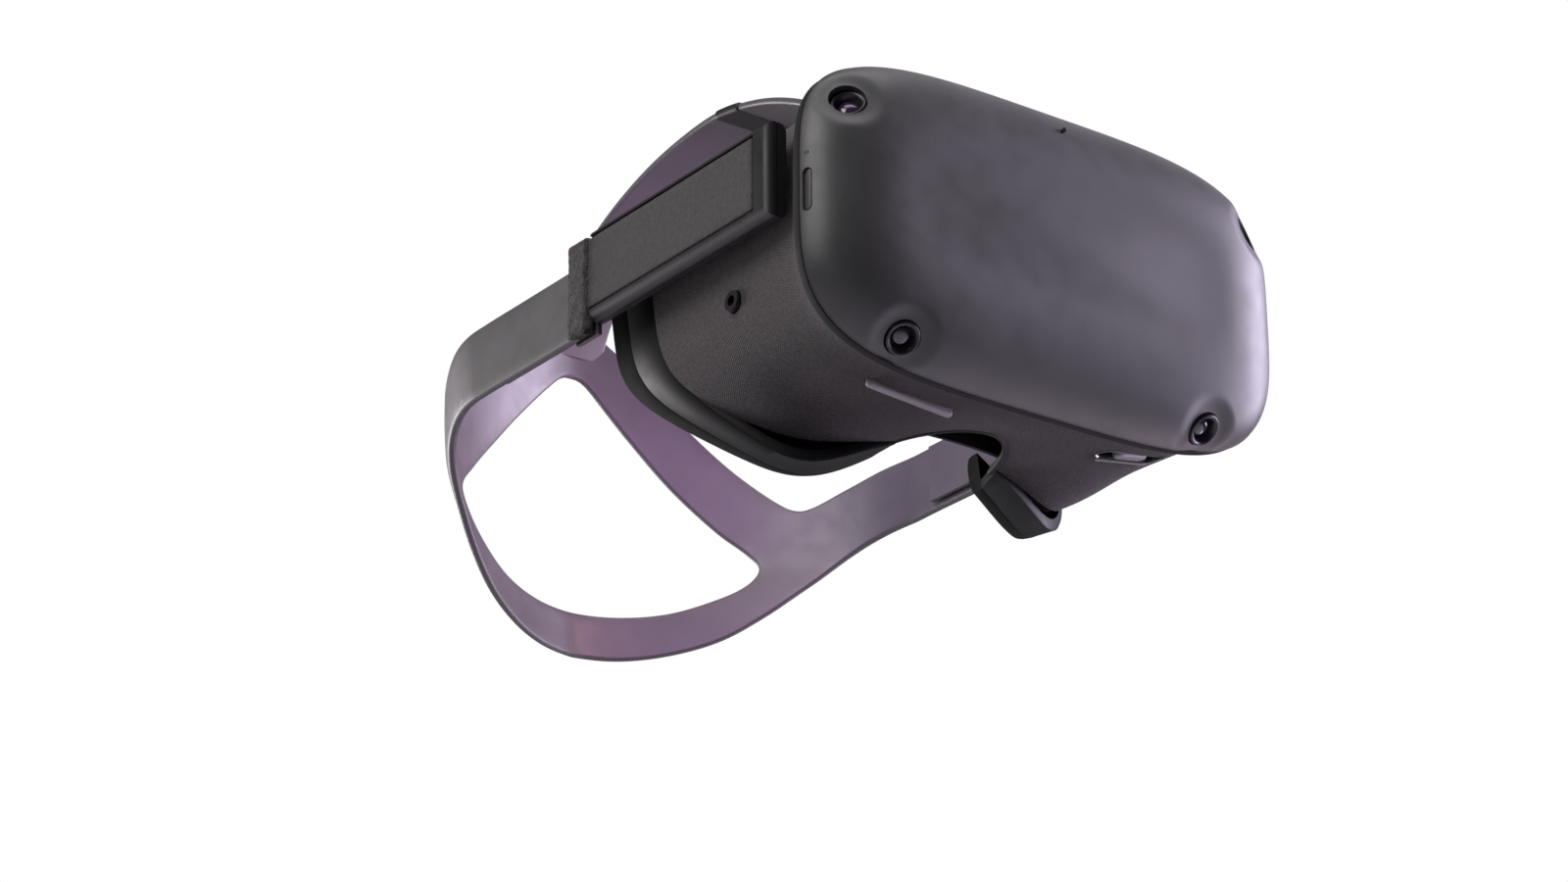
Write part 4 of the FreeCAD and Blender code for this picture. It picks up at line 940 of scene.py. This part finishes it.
def ring_level(z):
    """The cradle's half width, depth and rounding power at a height."""
    levels = [Vector(level) for level in RING_LEVELS]
    for low, high in zip(levels, levels[1:]):
        if z <= high[0] or high is levels[-1]:
            part = (z - low[0]) / (high[0] - low[0])
            k = levels.index(low)
            before = levels[max(k - 1, 0)]
            after = levels[min(k + 2, len(levels) - 1)]
            first = (high - before) * (high[0] - low[0]) / max(high[0] - before[0], 1)
            last = (after - low) * (high[0] - low[0]) / max(after[0] - low[0], 1)
            t2, t3 = part * part, part ** 3
            mixed = low * (2 * t3 - 3 * t2 + 1) + first * (t3 - 2 * t2 + part)
            mixed = mixed + high * (3 * t2 - 2 * t3) + last * (t3 - t2)
            return mixed[1], mixed[2], mixed[3]


def ring_point(turn, z, depth):
    """A point of the cradle's wall: turn is 0 at the bend beside +X, half a circle at -X."""
    half, back, power = ring_level(z)
    x = (half - depth) * signed_power(math.cos(turn), 2 / power)
    y = RING_BEND + (back - RING_BEND - depth) * math.sin(turn) ** (2 / power)
    return Vector((x, y, z))


RING_STEPS = 400
RING_TABLE = [0.0]
for step in range(RING_STEPS):
    here, there = (ring_point(0.5 * math.pi * (1 - k / RING_STEPS), 8, 0) for k in (step, step + 1))
    RING_TABLE.append(RING_TABLE[-1] + (there - here).length)
SIDE_START = RING_TABLE[-1]
SIDE_END = SIDE_START + RING_BEND - BAND_START


def unrolled(x, z):
    """A back-view point as distance round the wall from the middle of the back, and height."""
    half, back, power = ring_level(z)
    turn = math.acos(min(abs(x) / half, 1.0) ** (power / 2))
    place = (1 - turn / (0.5 * math.pi)) * RING_STEPS
    k = min(int(place), RING_STEPS - 1)
    distance = RING_TABLE[k] + (RING_TABLE[k + 1] - RING_TABLE[k]) * (place - k)
    return Vector((math.copysign(distance, x), z))


def rolled(flat, depth):
    """The wall's point for a distance round it and a height."""
    distance, z = abs(flat[0]), flat[1]
    side = 1 if flat[0] >= 0 else -1
    if distance >= SIDE_START:
        point = ring_point(0.0, z, depth)
        point.y -= distance - SIDE_START
    else:
        low, high = 0, RING_STEPS
        while high - low > 1:
            k = (low + high) // 2
            low, high = (k, high) if RING_TABLE[k] <= distance else (low, k)
        part = (distance - RING_TABLE[low]) / (RING_TABLE[low + 1] - RING_TABLE[low])
        point = ring_point(0.5 * math.pi * (1 - (low + part) / RING_STEPS), z, depth)
    point.x *= side
    return point


def even(loop, gap, closed=True):
    """The same flat line with its points an even distance apart."""
    line = loop + loop[:1] if closed else loop
    total = sum((b - a).length for a, b in zip(line, line[1:]))
    count = max(int(total / gap), 8)
    spaced, walked, k = [], 0.0, 0
    for i in range(count if closed else count + 1):
        wanted = total * i / count
        while k < len(line) - 2 and walked + (line[k + 1] - line[k]).length < wanted:
            walked += (line[k + 1] - line[k]).length
            k += 1
        span_length = (line[k + 1] - line[k]).length
        spaced.append(line[k].lerp(line[k + 1], min((wanted - walked) / max(span_length, 1e-9), 1)))
    return spaced


def inset_loop(loop, amount):
    """A closed flat loop moved to its left by an amount."""
    moved = []
    count = len(loop)
    for i, point in enumerate(loop):
        along = (loop[(i + 1) % count] - loop[i - 1]).normalized()
        moved.append(point + Vector((-along.y, along.x)) * amount)
    return moved


def inside(point, loop):
    """True when a flat point lies within a closed loop."""
    found = False
    for a, b in zip(loop, loop[1:] + loop[:1]):
        if (a.y > point.y) != (b.y > point.y):
            if point.x < a.x + (b.x - a.x) * (point.y - a.y) / (b.y - a.y):
                found = not found
    return found


def cradle_loops():
    """The wall's outline and its window, unrolled flat, both with the wall on their left."""
    below = [unrolled(x, z) for x, z in EDGE_BELOW]
    along_side = (SIDE_START + 4, SIDE_START + 30, SIDE_END)
    below += [Vector((distance, BAND_LOW)) for distance in along_side]
    above = [Vector((distance, BAND_HIGH)) for distance in reversed(along_side)]
    above += [unrolled(x, z) for x, z in EDGE_ABOVE]
    right = catmull(below, 8) + catmull(above, 8)
    left = [Vector((-p.x, p.y)) for p in reversed(right)]
    outline = even(right + left[:-1], 2.0)
    half = [unrolled(x, z) for x, z in WINDOW]
    full = half + [Vector((-p.x, p.y)) for p in reversed(half[1:-1])]
    ring = catmull(full[-2:] + full + full[:3], 8)
    ring = ring[2 * 8 : (2 + len(full)) * 8]
    return outline, even(ring, 2.0)[::-1]


def make_cradle():
    """One moulded rubber piece: the wall follows the head, and all its edges are fully rounded."""
    loops = cradle_loops()
    grid_gap = 3.2
    rims = [even(inset_loop(loop, BAND_ROUND), 2.0) for loop in loops]
    flat, edges = [], []
    for rim in rims:
        start = len(flat)
        flat.extend(rim)
        edges.extend((start + i, start + (i + 1) % len(rim)) for i in range(len(rim)))
    fence = [inset_loop(rim, 1.6) for rim in rims]
    columns = int(2 * SIDE_END / grid_gap)
    for i in range(columns + 1):
        for j in range(int(135 / grid_gap)):
            point = Vector((-SIDE_END + 2 * SIDE_END * i / columns, -57 + grid_gap * (j + 0.5 * (i % 2))))
            if inside(point, fence[0]) and not inside(point, fence[1]):
                flat.append(point)
    flat, _, triangles, _, _, _ = delaunay_2d_cdt(flat, edges, [], 0, 0.0001)
    kept = []
    for triangle in triangles:
        centre = sum((flat[i] for i in triangle), Vector((0, 0))) / 3
        if inside(centre, rims[0]) and not inside(centre, rims[1]):
            kept.append(tuple(triangle))
    count = len(flat)
    verts = [rolled(point, 0) for point in flat] + [rolled(point, BAND_THICK) for point in flat]
    faces = kept + [tuple(i + count for i in triangle[::-1]) for triangle in kept]
    start = 0
    rows = 9
    for rim in rims:
        ring = [flat[start + i] for i in range(len(rim))]
        size = len(ring)
        outer = inset_loop(ring, -BAND_ROUND)
        before = [start + i for i in range(size)]
        for k in range(1, rows + 1):
            if k < rows:
                turn = math.pi * k / rows
                push = math.sin(turn)
                depth = BAND_THICK * (0.5 - 0.5 * math.cos(turn))
                row = list(range(len(verts), len(verts) + size))
                verts.extend(rolled(ring[i].lerp(outer[i], push), depth) for i in range(size))
            else:
                row = [start + i + count for i in range(size)]
            for i in range(size):
                j = (i + 1) % size
                faces.append((before[i], before[j], row[j], row[i]))
            before = row
        start += size
    cradle = new_piece("cradle_band", verts, faces)
    weld(cradle)
    outward(cradle)
    finish_piece(cradle, "cradle", "strap_rubber", "head_cradle", angle=80)


# ---------------------------------------------------------------- the top strap

# side view of the strap's middle line, y and z, from the crown forward to the visor
STRAP_LINE = [
    (263.5, 58), (258.5, 73), (246, 88), (226, 100.5), (200, 110), (172, 114.5),
    (150, 114), (124, 107), (98, 94), (72, 75.5), (52, 60), (36, 54.4),
]
STRAP_SPLIT = 6
STRAP_HALF, STRAP_THICK = 12.0, 2.6


def band_section(half_width, thick, corner, steps=5):
    """A flat band's cross-section with rounded edges, as (across, out) pairs."""
    section = []
    for cx, cz, first in ((1, 1, 0), (-1, 1, 1), (-1, -1, 2), (1, -1, 3)):
        for i in range(steps + 1):
            turn = 0.5 * math.pi * (first + i / steps)
            section.append((
                cx * (half_width - corner) + corner * math.cos(turn),
                cz * (thick / 2 - corner) + corner * math.sin(turn),
            ))
    return section


def sweep_band(name, line, half_width, thick, corner):
    """A band along a line in the plane x = 0, with rolled ends."""
    rows = []
    count = len(line)
    for k, point in enumerate(line):
        along = (line[min(k + 1, count - 1)] - line[max(k - 1, 0)]).normalized()
        out = Vector((0, along.z, -along.y))
        if out.z < 0:
            out = -out
        row = []
        for across, lift in band_section(half_width, thick, corner):
            row.append(point + Vector((across, 0, 0)) + out * lift)
        rows.append(row)
    band = ringed_solid(name, rows)
    modify(band, "BEVEL", width=0.7 * MM, segments=3, limit_method="ANGLE", angle_limit=math.radians(70))
    return band


def make_top_strap():
    """Two lengths of rubber strap that meet in a keeper above the head."""
    points = [Vector((0, y, z)) for y, z in STRAP_LINE]
    line = catmull(points, 14)
    split = STRAP_SPLIT * 14
    rear = sweep_band("strap_rear", line[4 : split + 1], STRAP_HALF, STRAP_THICK, 1.1)
    front = sweep_band("strap_front", line[split:], STRAP_HALF, STRAP_THICK, 1.1)
    keeper = sweep_band("strap_keeper", line[split - 4 : split + 5], STRAP_HALF + 0.5, STRAP_THICK + 1.0, 1.5)
    for piece in (rear, front):
        dress(piece, MATERIALS["strap_rubber"])
        smooth(piece, 60)
    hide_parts("top_strap_rear")
    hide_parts("top_strap_front")
    finish_piece(keeper, "strap_frame", "dark_plastic")
    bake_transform(rear)
    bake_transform(front)


# ---------------------------------------------------------------- straps on the side arms


def rounded_slab(name, low, high, corner, gap):
    """A slab between two corners with rounded edges and faces fine enough to be shaped."""
    mesh = bmesh.new()
    bmesh.ops.create_cube(mesh, size=1.0)
    size = high - low
    bmesh.ops.scale(mesh, vec=size * MM, verts=mesh.verts)
    for axis in range(3):
        cuts = int(size[axis] / gap)
        if cuts < 1:
            continue
        picked = [e for e in mesh.edges if abs((e.verts[0].co - e.verts[1].co)[axis]) > 0.9 * size[axis] * MM]
        bmesh.ops.subdivide_edges(mesh, edges=picked, cuts=cuts, use_grid_fill=True)
    obj = bpy.data.objects.new(name, bpy.data.meshes.new(name))
    mesh.to_mesh(obj.data)
    mesh.free()
    bpy.context.scene.collection.objects.link(obj)
    middle = at(*((low + high) / 2))
    obj.data.transform(Matrix.Translation(middle))
    modify(obj, "BEVEL", width=corner * MM, segments=4, limit_method="ANGLE", angle_limit=math.radians(50))
    return obj


FOLD_FRONT = 112.0


def make_side_strap(side):
    """Hook-and-loop tape laid in the arm's recess, and the fold where it turns round the arm's end."""
    low, high = span("side_strap_" + side)
    sign = -1 if side == "right" else 1
    reach = high.x if sign > 0 else -low.x
    arm_low, arm_high = span("arm_outer_" + side)
    arm_reach = arm_high.x if sign > 0 else -arm_low.x

    def slab(name, x_in, x_out, front, back, bottom, top, corner):
        first = Vector((min(sign * x_in, sign * x_out), front, bottom))
        last = Vector((max(sign * x_in, sign * x_out), back, top))
        return rounded_slab(name, first, last, corner, 2.5)

    tape = slab("tape_" + side, arm_reach - 2.1, arm_reach - 0.25, low.y, FOLD_FRONT + 1.5, 1.4, 26.1, 0.5)
    wave = bpy.data.textures.new("tape_wave", "CLOUDS")
    wave.noise_scale = 0.02
    modify(tape, "DISPLACE", texture=wave, strength=0.25 * MM, mid_level=0.5)
    finish_piece(tape, "cradle", "hook_loop", "side_strap_" + side, angle=50)
    fold = slab("fold_" + side, arm_reach - 3.2, reach, FOLD_FRONT, high.y, low.z, high.z, 1.5)
    modify(fold, "SUBSURF", levels=1)
    fuzz = bpy.data.textures.new("fold_fuzz", "CLOUDS")
    fuzz.noise_scale = 0.0028
    modify(fold, "DISPLACE", texture=fuzz, strength=0.9 * MM, mid_level=0.5)
    finish_piece(fold, "cradle", "hook_loop", angle=70, material="fuzzy_edge")


# ---------------------------------------------------------------- camera, lights and floor

VIEW_TURN = math.radians(36.66)
VIEW_RISE = math.radians(22.83)
VIEW_ROLL = math.radians(-0.41)
VIEW_PLACE = Vector((-0.7892, -1.0506, -0.5098))
VIEW_LENS = 97.37
FLOOR_LEVEL = -0.75


def make_camera_view():
    """The viewpoint: from the wearer's right, in front and well below."""
    forward = Vector((
        math.sin(VIEW_TURN) * math.cos(VIEW_RISE),
        math.cos(VIEW_TURN) * math.cos(VIEW_RISE),
        math.sin(VIEW_RISE),
    ))
    level = Vector((math.cos(VIEW_TURN), -math.sin(VIEW_TURN), 0))
    upright = level.cross(forward)
    right = level * math.cos(VIEW_ROLL) + upright * math.sin(VIEW_ROLL)
    up = upright * math.cos(VIEW_ROLL) - level * math.sin(VIEW_ROLL)
    data = bpy.data.cameras.new("view")
    data.lens = VIEW_LENS
    data.sensor_width = 36.0
    data.clip_start = 0.01
    camera = bpy.data.objects.new("view", data)
    bpy.context.scene.collection.objects.link(camera)
    turn = Matrix((right, up, -forward)).transposed()
    camera.matrix_world = Matrix.Translation(VIEW_PLACE) @ turn.to_4x4()
    bpy.context.scene.camera = camera


def soft_light(name, place, target, width, height, power, colour):
    """A rectangular lamp aimed at a point."""
    data = bpy.data.lights.new(name, "AREA")
    data.shape = "RECTANGLE"
    data.size = width
    data.size_y = height
    data.energy = power
    data.color = colour
    lamp = bpy.data.objects.new(name, data)
    bpy.context.scene.collection.objects.link(lamp)
    lamp.location = place
    lamp.rotation_euler = (target - place).to_track_quat("-Z", "Y").to_euler()
    lamp.visible_camera = False


WORLD_LIGHT = 0.12
# place and aim from the object's middle (metres), width, height, watts, colour
LIGHTS = {
    "key": ((-1.2, -0.2, 0.75), (0, 0, 0), 1.0, 0.9, 17.5, (1.0, 0.98, 0.97)),
    "front_right": ((1.35, -0.5, 0.25), (0, -0.1, 0), 0.8, 1.2, 44.0, (0.86, 0.78, 1.0)),
    "under_right": ((0.9, 0.1, -1.0), (0.05, -0.1, 0), 0.8, 0.8, 14.0, (1.0, 0.72, 0.92)),
    "above": ((-0.1, -0.3, 1.4), (0, 0, 0), 1.2, 1.0, 10.0, (1.0, 0.98, 0.99)),
    "back_left": ((-0.45, 1.3, -0.05), (0, 0.1, -0.03), 0.6, 0.8, 17.0, (1.0, 0.95, 0.98)),
    "cradle_violet": ((-0.02, 0.02, 0.0), (0.04, 0.12, -0.02), 0.10, 0.06, 0.11, (0.66, 0.36, 1.0)),
    "cradle_pink": ((0.04, 0.03, -0.01), (-0.06, 0.10, -0.05), 0.05, 0.04, 0.10, (1.0, 0.55, 0.62)),
}


def make_stage():
    """A pale floor well below the object, a white world and soft lights."""
    verts = [(-6, -6, FLOOR_LEVEL), (6, -6, FLOOR_LEVEL), (6, 6, FLOOR_LEVEL), (-6, 6, FLOOR_LEVEL)]
    mesh = bpy.data.meshes.new("floor")
    mesh.from_pydata(verts, [], [(0, 1, 2, 3)])
    floor = bpy.data.objects.new("floor", mesh)
    bpy.context.scene.collection.objects.link(floor)
    pale = Shader("floor_paint", (0.86, 0.86, 0.87), 0.8)
    pale.bump(pale.noise(30.0), 0.05, 0.001)
    dress(floor, pale.material)
    floor.visible_diffuse = False

    world = bpy.data.worlds.new("studio")
    world.use_nodes = True
    bpy.context.scene.world = world
    nodes, links = world.node_tree.nodes, world.node_tree.links
    seen = nodes["Background"]
    seen.inputs["Color"].default_value = (1, 1, 1, 1)
    seen.inputs["Strength"].default_value = 1.0
    lit = nodes.new("ShaderNodeBackground")
    lit.inputs["Color"].default_value = (0.93, 0.92, 0.97, 1)
    lit.inputs["Strength"].default_value = WORLD_LIGHT
    path = nodes.new("ShaderNodeLightPath")
    mix = nodes.new("ShaderNodeMixShader")
    links.new(path.outputs["Is Camera Ray"], mix.inputs[0])
    links.new(lit.outputs[0], mix.inputs[1])
    links.new(seen.outputs[0], mix.inputs[2])
    links.new(mix.outputs[0], nodes["World Output"].inputs["Surface"])

    middle = (cad_low + cad_high) / 2
    for name, (offset, aim, width, height, power, colour) in LIGHTS.items():
        soft_light(name, middle + Vector(offset), middle + Vector(aim), width, height, power, colour)
    bpy.context.scene.view_settings.view_transform = "Standard"


# ---------------------------------------------------------------- run

for node_name, obj in frame["nodes"].items():
    dress(obj, MATERIALS[slot_of_node.get(node_name, "dark_plastic")])

make_camera_view()
make_stage()
make_cover()
for camera_name in CAMERA_FACING:
    make_camera(camera_name)
make_gasket()
make_fabric()
make_nose_lip()
make_face_pad()
make_controls()
make_cradle()
make_top_strap()
for side_name in ("right", "left"):
    make_side_strap(side_name)
